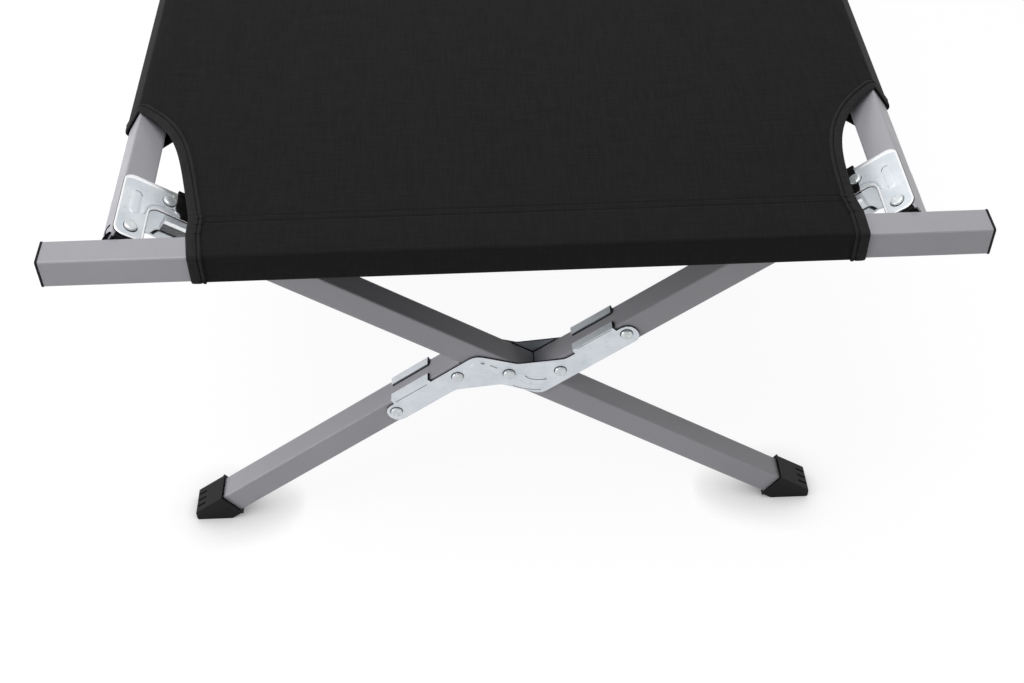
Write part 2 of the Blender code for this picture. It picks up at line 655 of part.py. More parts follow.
def bracket_outline(station, strip):
    """Corners as (inwards from the rail's line, out from the leg's plane, radius). The strip runs along the web."""
    edge = HALF - GAP
    inner = RAIL_ARM_EDGE
    face = HALF + GAP + PLATE / 2
    back = -BRACKET_BACK
    end = [(ARM_END, face, 0.0015)]
    if strip:
        end = [(WEB_END, face, 0.0), (WEB_END, face - WEB_LIP, 0.0015), (ARM_END, face - WEB_LIP, 0.0015)]
    if station == "middle":
        return ([(-MIDDLE_EDGE, -MIDDLE_ARM, 0.006), (-MIDDLE_EDGE, MIDDLE_ARM, 0.006), (inner, MIDDLE_ARM, 0.005),
                 (inner, face, 0.008)] + end +
                [(ARM_END, back, 0.0015), (inner, back, 0.008), (inner, -MIDDLE_ARM, 0.005)])
    return ([(-edge, back, 0.008), (-edge, RAIL_ARM, 0.008), (inner, RAIL_ARM, 0.004), (inner, face, 0.008)] +
            end + [(ARM_END - 0.0015, back, 0.0015)])


def web_outline():
    """The stop in front of the leg, as (inwards from the rail's line, height): tall at the rail, then lower."""
    low = -HALF - GAP - PLATE + SEAT
    return rounded([(HALF + GAP, low, 0.0), (WEB_TALL, low, 0.003), (WEB_TALL + WEB_BEND, -WEB_LOW, 0.006),
                    (WEB_END, -WEB_LOW, 0.001), (WEB_END, -low, 0.0), (HALF + GAP, -low, 0.0)])


def upstand_outline():
    """The lower plate's own flange under the web, with a narrow slit between the two."""
    low = -HALF - GAP - PLATE + SEAT
    return rounded([(WEB_TALL + WEB_BEND, low, 0.0), (WEB_END, low, 0.0), (WEB_END, -WEB_FOOT, 0.001),
                    (WEB_TALL + 2 * WEB_BEND, -WEB_FOOT, 0.002)])


def bead_mesh(name, place, out):
    """V-shaped bead along the web: a prism on three corners, from its start to the web's end."""
    face = HALF + GAP + PLATE - SEAT
    section = [(face - PLATE / 2, BEAD_TOP - PLATE / 2), (face, BEAD_TOP), (face + BEAD_DEPTH, BEAD_CREST),
               (face, -WEB_LOW + SEAT), (face - PLATE / 2, -WEB_LOW + SEAT)]
    loop = [(out * w, h) for w, h in section]
    return extruded(name, [loop], WEB_END - SEAT - BEAD_START, place @ FACING_X)


def bracket_ribs():
    """Ribs pressed in an end bracket's upper plate, as (path, width): one straight, one round the corner."""
    half = RIB_WIDTH / 2
    straight = [(0.0, OBROUND_NEAR + half), (0.0, OBROUND_FAR - half)]
    corner = bow((0.0078, 0.0240), (0.0112, 0.0128), (0.0215, 0.0076), RIB_TURNS)
    return [(straight, RIB_WIDTH), (corner, ARC_RIB_WIDTH)]


def bracket(station, y, side):
    """Upper and lower plate on the rail and the leg's top, joined by the web and by their rivets."""
    name = f"{station}_{side}_rail_bracket"
    frame = frame_of(side)
    x, z = rail_line(side)
    sign = inward(side)
    out = END_SIGN[station] or -1.0
    level = HALF + GAP + PLATE / 2
    reach = HALF + GAP + PLATE
    plates = []
    for height, strip in ((z + level, True), (z - level, False)):
        loop = [(x + sign * u, y + out * w) for u, w in rounded(bracket_outline(station, strip), 2)]
        plates.append(extruded(name, [loop], PLATE, Matrix.Translation((0.0, 0.0, height)) @ FACING_Z))
    part = link_mesh(name, plates[0], ZINC, frame)
    plates[1].name = name + "_lower"
    boolean(part, link_mesh(plates[1].name, plates[1], frame=frame), "UNION")
    web = extruded(name + "_web", [[(x + sign * u, z + h) for u, h in web_outline()]], PLATE,
                   Matrix.Translation((0.0, y + out * level, 0.0)) @ FACING_Y)
    boolean(part, link_mesh(web.name, web, frame=frame), "UNION")
    if station != "middle":
        dress_bracket(part, frame, (x, y, z), sign, out)
    spots = [(x + sign * ARM_RIVET, y, z)]
    if station == "middle":
        spots += [(x, y - MIDDLE_RIVET, z), (x, y + MIDDLE_RIVET, z)]
    else:
        spots += [(x, y + out * RAIL_RIVET, z)]
    rivets(part, frame, spots, "Z", 2 * reach, 0.0)
    smooth(part)


def dress_bracket(part, frame, centre, sign, out):
    """Adds the end brackets' pressed forms: ribs on the upper plate, a bead on the web and the lower upstand."""
    x, y, z = centre
    level = HALF + GAP + PLATE / 2
    crest = HALF + GAP + PLATE + RIB_HEIGHT
    for number, (path, width) in enumerate(bracket_ribs(), 1):
        loop = [(x + sign * u, y + out * w) for u, w in stroke(path, width, 4)]
        rib = extruded(f"{part.name}_rib_{number}", [loop], crest - level,
                       Matrix.Translation((0.0, 0.0, z + (crest + level) / 2)) @ FACING_Z)
        boolean(part, link_mesh(rib.name, rib, frame=frame), "UNION")
    upstand = extruded(part.name + "_upstand", [[(x + sign * u, z + h) for u, h in upstand_outline()]], PLATE,
                       Matrix.Translation((0.0, y + out * level, 0.0)) @ FACING_Y)
    boolean(part, link_mesh(upstand.name, upstand, frame=frame), "UNION")
    middle = x + sign * (BEAD_START + WEB_END - SEAT) / 2
    bead = bead_mesh(part.name + "_bead", Matrix.Translation((middle, y, z)), out)
    boolean(part, link_mesh(bead.name, bead, frame=frame), "UNION")


# End bars

def end_bar(end):
    frame = FRONT_BAR if end == "front" else REAR_BAR
    sign = END_SIGN[end]
    reach = BAR_LENGTH / 2 - CAP_FLANGE - GAP
    name = f"{end}_end_bar"
    part = link_mesh(name, tube_mesh(name, -reach, reach, (0.0, 0.0), "X"), GREY_TUBE, frame)
    centres = [(side * RAIL_X, -sign * HALF, 0.0) for side in (-1.0, 1.0)]
    holes(part, frame, centres, PIN_HOLE, "Y", HALF)
    smooth(part)
    for side in ("left", "right"):
        bar_cap(end, side, frame)


def bar_cap(end, side, frame):
    name = f"{end}_bar_{side}_cap"
    sign = -1.0 if side == "left" else 1.0
    middle = sign * (BAR_LENGTH / 2 - CAP_FLANGE / 2)
    mesh = extruded(name, [square(TUBE + 2 * GAP, TUBE_ROUND)], CAP_FLANGE,
                    Matrix.Translation((middle, 0.0, 0.0)) @ FACING_X)
    part = link_mesh(name, mesh, BLACK_PLASTIC, frame)
    bore = (TUBE - 2 * WALL - SLIP) / 2
    x0, x1 = sorted((middle, sign * (BAR_LENGTH / 2 - PLUG_DEPTH)))
    plug_mesh = box_mesh(name + "_plug", ((x0, -bore, -bore), (x1, bore, bore)))
    boolean(part, link_mesh(plug_mesh.name, plug_mesh, frame=frame), "UNION")
    smooth(part)


# Cover: one stretched sheet with cut corners, a sleeve along each rail and one round each bar

def ridge_height(side):
    """Height of the uppermost edge of a rail, which the cover lies on."""
    angle = THROUGH_ANGLE if side == "left" else SPLIT_ANGLE
    return RAIL_Z + HALF * (math.cos(angle) + math.sin(angle))


def ease(value):
    value = min(max(value, 0.0), 1.0)
    return value * value * (3.0 - 2.0 * value)


def sheet_underside(x, y):
    """Height of the sheet's underside: bar height at the ends, rail height between, with a slight sag."""
    bar_level = RAIL_Z + HALF + GAP
    blend = (x + RAIL_X) / (2 * RAIL_X)
    rail_level = ridge_height("left") * (1 - blend) + ridge_height("right") * blend + GAP
    rise = ease((BAR_Y - HALF - abs(y)) / (CORNER_LENGTH - HALF))
    across = 1.0 - (x / RAIL_X) ** 2
    return bar_level + (rail_level - bar_level) * rise - SAG * across * rise


def sheet_edge(edge, y):
    """Half width of the sheet at this place along the bed: the corners are cut away in a curve."""
    from_bar = BAR_Y - abs(y)
    if from_bar <= HALF:
        share = max((from_bar + HALF) / TUBE, 0.0)
        return edge["front"] + (edge["back"] - edge["front"]) * share
    if from_bar <= HEM_SEAM:
        return edge["back"] + (edge["hem"] - edge["back"]) * (from_bar - HALF) / (HEM_SEAM - HALF)
    reach = min((from_bar - HEM_SEAM) / (CORNER_LENGTH - HEM_SEAM), 1.0)
    curve = edge["straight"] * reach + (1.0 - edge["straight"]) * reach ** edge["power"]
    return edge["hem"] + (RAIL_X + EDGE_PAST_RAIL - edge["hem"]) * curve


def cover_sheet():
    name = "cover_sheet"
    front = BED_LENGTH / 2 + GAP
    corner = [BAR_Y - HEM_SEAM - (CORNER_LENGTH - HEM_SEAM) * k / 7 for k in range(8)]
    ends = [front, BAR_Y - HALF] + corner
    half_rows = ends + [BAR_Y * f for f in (0.55, 0.27)]
    rows = half_rows + [0.0] + [-y for y in reversed(half_rows)]
    columns = 11        # an odd number, so that the middle strip is flat and level
    shape = bmesh.new()
    bmesh.ops.create_grid(shape, x_segments=columns, y_segments=len(rows) - 1, size=1.0)
    for vertex in shape.verts:
        y = rows[round((1.0 - vertex.co.y) / 2 * (len(rows) - 1))]
        share = (vertex.co.x + 1.0) / 2
        x = -sheet_edge(EDGE_LEFT, y) * (1 - share) + sheet_edge(EDGE_RIGHT, y) * share
        vertex.co = (x, y, sheet_underside(x, y))
    part = link_mesh(name, finish_bmesh(shape, name), BLACK_CLOTH)
    thicken(part)


def thicken(part, offset=1.0):
    step = part.modifiers.new("cloth", "SOLIDIFY")
    step.thickness = CLOTH
    step.offset = offset
    step.use_even_offset = True


def ribbon(name, profile, start, end, along):
    """An open sheet: a profile of (across, height) points drawn out along one axis."""
    shape = bmesh.new()
    if along == "Y":
        chain = [shape.verts.new((a, start, h)) for a, h in profile]
        step = (0.0, end - start, 0.0)
    else:
        chain = [shape.verts.new((start, a, h)) for a, h in profile]
        step = (end - start, 0.0, 0.0)
    edges = [shape.edges.new(pair) for pair in zip(chain, chain[1:])]
    grown = bmesh.ops.extrude_edge_only(shape, edges=edges)["geom"]
    bmesh.ops.translate(shape, vec=step, verts=[item for item in grown if isinstance(item, bmesh.types.BMVert)])
    mesh = bpy.data.meshes.new(name)
    shape.to_mesh(mesh)
    shape.free()
    return mesh


def side_sleeve(side):
    """Cloth round a rail: down its outer face, under it, and up to the seam on the sheet."""
    name = f"cover_{side}_sleeve"
    frame = frame_of(side)
    x, z = rail_line(side)
    sign = inward(side)
    skin = HALF + GAP
    seam_x = -SLEEVE_SEAM_X if side == "left" else SLEEVE_SEAM_X
    seam_z = sheet_underside(seam_x, 0.0) - GAP - CLOTH - SEAM_DROP
    seam = frame_matrix(frame).inverted() @ Vector((seam_x, 0.0, seam_z))
    profile = [(x - sign * skin, z + HALF - SLEEVE_START), (x - sign * skin, z - HALF), (x - sign * HALF, z - skin),
               (x + sign * HALF, z - skin), (seam.x, seam.z)]
    reach = BAR_Y - CORNER_LENGTH
    part = link_mesh(name, ribbon(name, profile, -reach, reach, "Y"), BLACK_CLOTH, frame)
    thicken(part, 1.0 if side == "left" else -1.0)
    x0, x1 = sorted((x - sign * (HALF - GAP), x + sign * 4 * TUBE))
    opening = box_mesh(name + "_leg_opening", ((x0, -LEG_OPENING, z - 3 * TUBE), (x1, LEG_OPENING, z + 3 * TUBE)))
    boolean(part, link_mesh(opening.name, opening, frame=frame), "DIFFERENCE")


def end_sleeve(end):
    """Cloth round a bar: down its outer face, under it, and up to the hem seam on the sheet."""
    name = f"cover_{end}_sleeve"
    sign = END_SIGN[end]
    frame = FRONT_BAR if end == "front" else REAR_BAR
    skin = HALF + GAP
    seam_y = -sign * HEM_SEAM
    seam_z = sheet_underside(EDGE_LEFT["hem"], BAR_Y - HEM_SEAM) - RAIL_Z - GAP - CLOTH - SEAM_DROP
    profile = [(sign * skin, HALF - GAP), (sign * skin, -HALF), (sign * HALF, -skin), (-sign * HALF, -skin),
               (seam_y, seam_z)]
    mesh = ribbon(name, profile, -EDGE_LEFT["front"], EDGE_RIGHT["front"], "X")
    part = link_mesh(name, mesh, BLACK_CLOTH, frame)
    thicken(part, 1.0 if end == "rear" else -1.0)


for rail_side in ("left", "right"):
    for rail_end in ("front", "rear"):
        rail(rail_side, rail_end)

for place, plane in STATIONS.items():
    through_leg(place, plane)
    half_leg(place, plane, "upper")
    half_leg(place, plane, "lower")
    leg_plate(place, plane, "front")
    leg_plate(place, plane, "back")
    pivot_rivet(place, plane)
    for leg_side in ("left", "right"):
        foot(place, plane, leg_side)
        leg_end(place, plane, leg_side)
        bracket(place, plane, leg_side)

for bar_end in ("front", "rear"):
    end_bar(bar_end)
    end_sleeve(bar_end)

cover_sheet()
for sleeve_side in ("left", "right"):
    side_sleeve(sleeve_side)
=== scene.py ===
"""Looks of the folding camp bed: finishes of the frame, the sewn black cover, studio light and camera."""

import math

import bmesh
import bpy
from mathutils import Matrix, Vector


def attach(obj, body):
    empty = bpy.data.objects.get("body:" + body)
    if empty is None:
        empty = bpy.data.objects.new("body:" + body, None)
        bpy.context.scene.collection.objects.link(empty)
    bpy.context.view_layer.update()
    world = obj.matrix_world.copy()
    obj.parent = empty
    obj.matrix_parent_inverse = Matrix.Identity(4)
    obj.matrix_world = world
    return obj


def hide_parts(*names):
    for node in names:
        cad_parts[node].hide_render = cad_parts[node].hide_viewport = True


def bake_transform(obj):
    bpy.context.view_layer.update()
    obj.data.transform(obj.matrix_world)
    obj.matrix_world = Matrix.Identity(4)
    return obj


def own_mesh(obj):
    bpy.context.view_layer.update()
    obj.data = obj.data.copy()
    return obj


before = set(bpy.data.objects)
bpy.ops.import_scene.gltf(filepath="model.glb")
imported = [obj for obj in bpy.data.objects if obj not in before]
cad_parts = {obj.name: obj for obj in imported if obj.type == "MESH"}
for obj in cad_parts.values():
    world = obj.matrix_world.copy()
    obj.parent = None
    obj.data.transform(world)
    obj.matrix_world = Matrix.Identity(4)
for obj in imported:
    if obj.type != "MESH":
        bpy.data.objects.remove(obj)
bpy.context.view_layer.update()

# Driving sizes, the same as the solids', in metres

BED_LENGTH = 1.900
RAIL_X = 0.307
RAIL_Z = 0.393
PIVOT_X = -0.007
PIVOT_Z = 0.1915
LEG_INSET = 0.0865
TUBE = 0.025
GAP = 0.0003
PLATE = 0.0015
HALF_LEG_OFFSET = 0.0265
RIVET_NEAR = 0.038
RIVET_FAR = 0.110
RAIL_RIVET = 0.0465
ARM_RIVET = 0.026
MIDDLE_RIVET = 0.034
LIP_START = 0.0055
LIP_LENGTH = 0.043
LIP_REACH = 0.0068
BEAD_START = 0.0262
BEAD_TOP = 0.0123
BEAD_CREST = 0.0088
BEAD_DEPTH = 0.0026
WEB_LOW = 0.0046
WEB_END = 0.050

# Sizes of the cover

CLOTH = 0.0010  # the sheet's top lies this far over what carries it
CLOTH_THICKNESS = 0.0007
SLEEVE_SEAM_X = 0.245
HEM_SEAM = 0.0325
CORNER_LENGTH = 0.170
SAG = 0.005
EDGE_LEFT = {"front": 0.2510, "back": 0.2545, "hem": 0.2545, "straight": 0.50, "power": 5.5}
EDGE_RIGHT = {"front": 0.2684, "back": 0.2688, "hem": 0.2656, "straight": 0.0, "power": 3.5}
LEG_OPENING = 0.062
FOLD = 0.0013  # the binding's fold stands this far past the cloth's own edge
SWELL = 0.0012  # a side sleeve stands this far off its rail
FLAP = 0.013  # how far the sheet runs on under the end sleeve's upper layer
FLAP_DROP = 0.0012
LAST_ROWS = 0.020  # the last stretch of a side sleeve, with closer rows
CORNER_TAPE = 0.0092  # width of the binding on the corners, from the cloth's edge
SLEEVE_TAPE = 0.0102  # the same on the end sleeves
TAPE_RISE = 0.0003  # the end sleeves' binding is this much thicker
SEAM_INSET = 0.0030  # stitch row from the binding's inner edge
INNER_ROW = -0.0008  # the hem seam's two rows, from the line where sheet and end sleeve meet
OUTER_ROW = 0.0060
SECOND_ROW = 0.0055  # between the two stitch rows of a side seam
LOWER_START = 0.3060  # half width where a side sleeve's lower layer begins to reach past its end
LOWER_SLOPE = 0.756
SHEET_COLUMNS = 56
HEM_COLUMNS = 44
HEM_ROWS = 15  # close rows of the end sleeve beside the hem seam
HEM_ROW_STEP = 0.0006
CORNER_ROW_STEP = 0.006
END_ROW_STEP = 0.004
LONG_ROW_STEP = 0.030
OPENING_STEPS = 7  # the last steps of a side sleeve's section, which a leg opening leaves out
DIP_DEPTH = 0.00065  # how deep and how wide a stitch row pulls the cloth down
DIP_WIDTH = 0.0016
ROUND = 0.0030  # the cloth's radius round the tubes' corners, and over a rail's ridge
RIDGE_ROUND = 0.0035
SEAM_DROP = 0.0016  # a side seam lies this far under the sheet
CLOSE = 1e-6  # lengths that differ by less are the same

# Small forms on the steel, the plastic and the cloth

HEAD_RADIUS = 0.0053
HEAD_HEIGHT = 0.0026
HEAD_SIDES = 28
HEAD_PROFILE = ((1.0, -0.04), (1.0, 0.34), (0.985, 0.52), (0.94, 0.70), (0.86, 0.84), (0.70, 0.93),
                (0.42, 0.98), (0.15, 1.0))
RIB_PROFILE = ((1.0, -0.00004), (0.97, 0.00006), (0.90, 0.00030), (0.83, 0.00052), (0.76, 0.00066),
               (0.62, 0.00079), (0.40, 0.00088), (0.12, 0.00092))
PLATE_RIB = 0.0092  # widths of the pressed ribs
BRACKET_RIB = 0.0082
ARC_RIB = 0.0043
# Widths and sections of painted shade lines in creases, round heads, under plate edges and on cut edges; the
# rolled edge's section carries a painted highlight
CREASE = 0.00065
CREASE_PROFILE = ((1.0, -0.00004), (0.55, 0.00012))
RIB_CREASE_PROFILE = ((1.0, -0.00004), (0.80, 0.00085), (0.40, 0.00102))
ROLL_SECTION = ((0.0010, -0.0013), (-0.0001, -0.0013), (-0.00035, -0.0009), (-0.00035, -0.0005),
                (-0.0001, -0.0001), (0.0004, 0.00015), (0.0010, 0.00022), (0.0017, 0.00016),
                (0.0023, -0.00005))
SEAT_SECTION = ((0.0004, -0.00003), (-0.0005, -0.00003), (-0.0005, 0.00010), (0.0004, 0.00010))
GAP_SECTION = ((0.0004, -0.0015), (-0.0006, -0.0015), (-0.0006, -0.0008), (0.0004, -0.0008))
CUT_SECTION = ((0.0003, -0.00145), (-0.0002, -0.00145), (-0.0002, -0.00040), (0.0003, -0.00040))
MEETING_HALF = 0.0255  # how far the half leg, and the through leg, show between the plates
MEETING_THROUGH = 0.0235
SHOULDER_START = {"left": 0.0322, "right": 0.0242}
SHOULDER_CUT = {"left": 0.0045, "right": 0.0002}
SHOULDER_END = 0.0545
SHOULDER_BACK = 0.0132
SHOULDER_FRONT = 0.0146
LEDGE_BACK = 0.0186
LEDGE_FRONT = 0.0126
WELT_BACK = 0.0139
LIP_CUT = 0.0009  # the painted shade on a lip's cut end stands this far past it
BURIED = 0.0001  # how far such a form starts inside the steel
PEN_STEPS = 6  # steps in the round end of a drawn line
ARC_STEPS = 5
BOW_STEPS = 8
STITCH_RINGS = ((-0.36, 0.8), (0.0, 1.0), (0.36, 0.8))
STITCH_SIDES = 5
STITCH_WIDTH = 0.0006
STITCH_HEIGHT = 0.00032
STITCH_SUNK = 0.6  # a stitch's ends go this share of its height into the cloth
BINDING_STITCH = (0.0030, 0.0024)  # pitch of a row of stitches, and length of each
HEM_STITCH = (0.0034, 0.0024)
SIDE_STITCH = (0.0042, 0.0031)

# Sizes and places that follow from these

HALF = TUBE / 2
STEEL_FACE = HALF + GAP + PLATE  # from a tube's middle line to the outer face of a plate on it
BAR_Y = BED_LENGTH / 2 - HALF
LEG_Y = BED_LENGTH / 2 - LEG_INSET
REACH = BAR_Y - CORNER_LENGTH
HEM_Y = BAR_Y - HEM_SEAM
LIP_INNER = RIVET_FAR - LIP_START
LIP_OUTER = LIP_INNER - LIP_LENGTH
SPLIT_SPAN = math.hypot(RAIL_Z - PIVOT_Z, RAIL_X - PIVOT_X)
ANGLE = {
    "left": math.atan2(RAIL_Z - PIVOT_Z, RAIL_X + PIVOT_X),
    "right": math.atan2(RAIL_Z - PIVOT_Z, RAIL_X - PIVOT_X) + math.asin(HALF_LEG_OFFSET / SPLIT_SPAN),
}
SIDE = {"left": -1.0, "right": 1.0}
BODY = {"left": "left_frame", "right": "right_frame"}
EDGES = {"left": EDGE_LEFT, "right": EDGE_RIGHT}
STATIONS = {"front": -LEG_Y, "middle": 0.0, "rear": LEG_Y}
ENDS = {"front": -1.0, "rear": 1.0}
FRAMES = {
    side: Matrix.Translation((PIVOT_X, 0.0, PIVOT_Z)) @ Matrix.Rotation(-SIDE[side] * ANGLE[side], 4, "Y")
    for side in SIDE
}
RAIL_LINE = {
    "left": Vector((-math.hypot(RAIL_Z - PIVOT_Z, RAIL_X + PIVOT_X), 0.0)),
    "right": Vector((math.sqrt(SPLIT_SPAN ** 2 - HALF_LEG_OFFSET ** 2), -HALF_LEG_OFFSET)),
}


# Materials

def feed(tree, socket, value):
    """Links a socket to another one, or gives it a fixed value."""
    if isinstance(value, bpy.types.NodeSocket):
        tree.links.new(value, socket)
    else:
        socket.default_value = value


def add_node(tree, kind, *first, **named):
    """A new node with its first inputs fed in turn, and others by name."""
    node = tree.nodes.new(kind)
    for socket, value in zip(node.inputs, first):
        feed(tree, socket, value)
    for name, value in named.items():
        feed(tree, node.inputs[name], value)
    return node


def math_node(tree, kind, first, second=0.0):
    node = add_node(tree, "ShaderNodeMath", first, second)
    node.operation = kind
    return node.outputs[0]


class Recipe:
    """A material with a Principled surface, and short ways to add the nodes that feed it."""

    def __init__(self, name, metallic=0.0, specular=0.5):
        self.material = bpy.data.materials.new(name)
        self.material.use_nodes = True
        self.tree = self.material.node_tree
        self.surface = self.tree.nodes["Principled BSDF"]
        self.surface.inputs["Metallic"].default_value = metallic
        self.surface.inputs["Specular IOR Level"].default_value = specular
        self.place = add_node(self.tree, "ShaderNodeTexCoord").outputs["Object"]

    def noise(self, scale, detail, stretch=None):
        """Noise of this scale, which a stretch multiplies along each axis."""
        place = self.place
        if stretch:
            place = add_node(self.tree, "ShaderNodeMapping", Vector=place, Scale=stretch).outputs["Vector"]
        return add_node(self.tree, "ShaderNodeTexNoise", Vector=place, Scale=scale, Detail=detail,
                        Roughness=0.55).outputs["Fac"]

    def math(self, kind, first, second=0.0):
        return math_node(self.tree, kind, first, second)

    def spread(self, value, low, high, to_low=0.0, to_high=1.0):
        node = add_node(self.tree, "ShaderNodeMapRange", value, low, high, to_low, to_high)
        node.clamp = True
        return node.outputs["Result"]

    def cloud(self, scale, detail, *span):
        """Noise spread over a range, as spread does."""
        return self.spread(self.noise(scale, detail), *span)

    def blend(self, share, first, second):
        node = self.tree.nodes.new("ShaderNodeMix")
        node.data_type = "RGBA"
        feed(self.tree, node.inputs["Factor"], share)
        for socket, value in zip([s for s in node.inputs if s.type == "RGBA"], (first, second)):
            feed(self.tree, socket, value if isinstance(value, bpy.types.NodeSocket) else (*value, 1.0))
        return [s for s in node.outputs if s.type == "RGBA"][0]

    def bump(self, height, depth, strength):
        """Raises the surface by a height of 0 to 1 times the depth in metres."""
        previous = self.surface.inputs["Normal"].links
        node = add_node(self.tree, "ShaderNodeBump", Strength=strength, Distance=depth, Height=height)
        if previous:
            feed(self.tree, node.inputs["Normal"], previous[0].from_socket)
        self.set("Normal", node.outputs["Normal"])

    def set(self, name, value):
        feed(self.tree, self.surface.inputs[name], value)


def tube_paint():
    """Grey powder coat with a lilac tint: fine orange peel, slight tone shifts and a few worn specks."""
    recipe = Recipe("grey_powder_coat", specular=0.36)
    base = recipe.blend(recipe.cloud(9.0, 4.0, 0.35, 0.65), (0.333, 0.328, 0.356), (0.362, 0.357, 0.386))
    base = recipe.blend(recipe.cloud(2600.0, 2.0, 0.40, 0.62, 0.0, 0.35), base, (0.43, 0.425, 0.445))
    speck = recipe.cloud(420.0, 2.0, 0.735, 0.76, 0.0, 0.5)
    recipe.set("Base Color", recipe.blend(speck, base, (0.20, 0.195, 0.21)))
    recipe.set("Roughness", recipe.cloud(38.0, 3.0, 0.3, 0.7, 0.36, 0.46))
    recipe.bump(recipe.noise(900.0, 2.0), 0.00006, 0.6)
    recipe.bump(recipe.noise(14.0, 1.0), 0.0004, 0.12)
    recipe.set("Coat Weight", 0.06)
    recipe.set("Coat Roughness", 0.3)
    return recipe.material


def zinc_plating(name, metallic, gain=1.0):
    """Bluish zinc plate: soft mottling, rolling streaks, fine scratches and dulled patches."""
    recipe = Recipe(name, metallic=metallic)
    cloud = recipe.cloud(55.0, 4.0, 0.32, 0.68)
    dull, clean = ([share * gain for share in tone] for tone in ((0.60, 0.65, 0.695), (0.72, 0.76, 0.795)))
    streak = recipe.spread(recipe.noise(160.0, 3.0, (1.0, 0.5, 5.0)), 0.45, 0.75, 0.0, 0.40)
    base = recipe.blend(streak, recipe.blend(cloud, dull, clean), (0.78, 0.80, 0.81))
    stain = recipe.cloud(130.0, 5.0, 0.60, 0.74, 0.0, 0.35)
    recipe.set("Base Color", recipe.blend(stain, base, (0.46, 0.51, 0.56)))
    scratch = recipe.noise(700.0, 2.0, (0.25, 1.0, 3.0))
    rough = recipe.spread(cloud, 0.0, 1.0, 0.38, 0.52)
    recipe.set("Roughness", recipe.math("ADD", rough, recipe.spread(scratch, 0.45, 0.8, -0.05, 0.08)))
    recipe.bump(recipe.noise(75.0, 3.0), 0.0006, 0.35)
    recipe.bump(scratch, 0.00005, 0.4)
    return recipe.material


def mottled(name, pattern, span, dark, light, rough, relief, depth, strength, **surface):
    """One noise mottles tone and roughness. The relief is a noise too, or the mottling itself."""
    recipe = Recipe(name, **surface)
    tone = recipe.spread(recipe.noise(*pattern), *span)
    recipe.set("Base Color", recipe.blend(tone, dark, light))
    recipe.set("Roughness", recipe.spread(tone, 0.0, 1.0, *rough))
    recipe.bump(recipe.noise(*relief) if relief else tone, depth, strength)
    return recipe.material


def moulded_plastic(name, specular):
    """Black moulded plastic with a fine spark-eroded grain and dull rub marks."""
    return mottled(name, (90.0, 4.0), (0.50, 0.72), (0.0055, 0.0055, 0.0058), (0.0120, 0.0120, 0.0124),
                   (0.38, 0.52), (1500.0, 2.0), 0.00008, 0.6, specular=specular)


def woven(name, dark, light, pitch, sheen, depth, specular, gap_shade):
    """Plain weave, with slubs in both directions and a faint cloudy tone."""
    recipe = Recipe(name, specular=specular)
    place = add_node(recipe.tree, "ShaderNodeSeparateXYZ", recipe.place).outputs
    across = recipe.math("MULTIPLY", place["X"], 2 * math.pi / pitch)
    along = recipe.math("MULTIPLY", recipe.math("ADD", place["Y"], place["Z"]), 2 * math.pi / pitch)
    weave = recipe.math("MULTIPLY", recipe.math("SINE", across), recipe.math("SINE", along))
    weave = recipe.spread(weave, -1.0, 1.0)
    slub = recipe.noise(1.0, 3.0, (700.0, 40.0, 40.0))
    cross_slub = recipe.noise(1.0, 3.0, (40.0, 700.0, 700.0))
    thread = recipe.spread(recipe.math("ADD", slub, cross_slub), 0.7, 1.3)
    cloudy = recipe.cloud(11.0, 4.0, 0.38, 0.66, 0.0, 0.25)
    tone = recipe.blend(cloudy, recipe.blend(thread, dark, light), light)
    gaps = recipe.spread(weave, 0.0, 0.45, gap_shade, 0.0)
    recipe.set("Base Color", recipe.blend(gaps, tone, (0.002, 0.002, 0.002)))
    recipe.set("Roughness", recipe.spread(thread, 0.0, 1.0, 0.82, 0.70))
    recipe.bump(weave, depth, 0.7)
    recipe.bump(thread, depth / 2, 0.5)
    recipe.set("Sheen Weight", sheen)
    recipe.set("Sheen Roughness", 0.45)
    return recipe.material


PAINT = tube_paint()
ZINC = zinc_plating("zinc_plate", 0.75)
BRACKET_ZINC = zinc_plating("zinc_bracket", 0.30, 1.06)

# Brighter, smoother plating on the rivet heads, with marks from the riveting tool
RIVET = mottled("bright_rivet_steel", (420.0, 3.0), (0.38, 0.64), (0.60, 0.64, 0.67), (0.80, 0.82, 0.83),
                (0.34, 0.22), (420.0, 3.0), 0.0003, 0.25, metallic=0.5)

# Painted highlight: the same plating made near white along rolled edges and the bead's crest, where light
# catches them
PAINTED_HIGHLIGHT_ZINC = mottled("painted_highlight_zinc", (180.0, 3.0), (0.36, 0.66), (0.88, 0.90, 0.91), (0.98, 0.985, 0.99),
                    (0.42, 0.30), (300.0, 3.0), 0.0002, 0.3, metallic=0.75)

# Painted shade: near black steel laid on cut edges, gaps, creases and round rivet heads, where shade falls
# between parts
PAINTED_SHADE_STEEL = mottled("painted_shade_steel", (260.0, 3.0), (0.35, 0.70), (0.010, 0.010, 0.012),
                     (0.034, 0.035, 0.040), (0.75, 0.55), None, 0.0001, 0.4, specular=0.15)

# Painted shade on the left bead's lower slope: dark steel with brushed streaks along its length
BRUSHED = (900.0, 2.0, (0.15, 1.0, 1.0))
PAINTED_SHADE_BEAD = mottled("painted_shade_bead_steel", BRUSHED, (0.35, 0.65), (0.085, 0.088, 0.094), (0.165, 0.168, 0.175),
                       (0.62, 0.46), BRUSHED, 0.00008, 0.4, metallic=0.35)

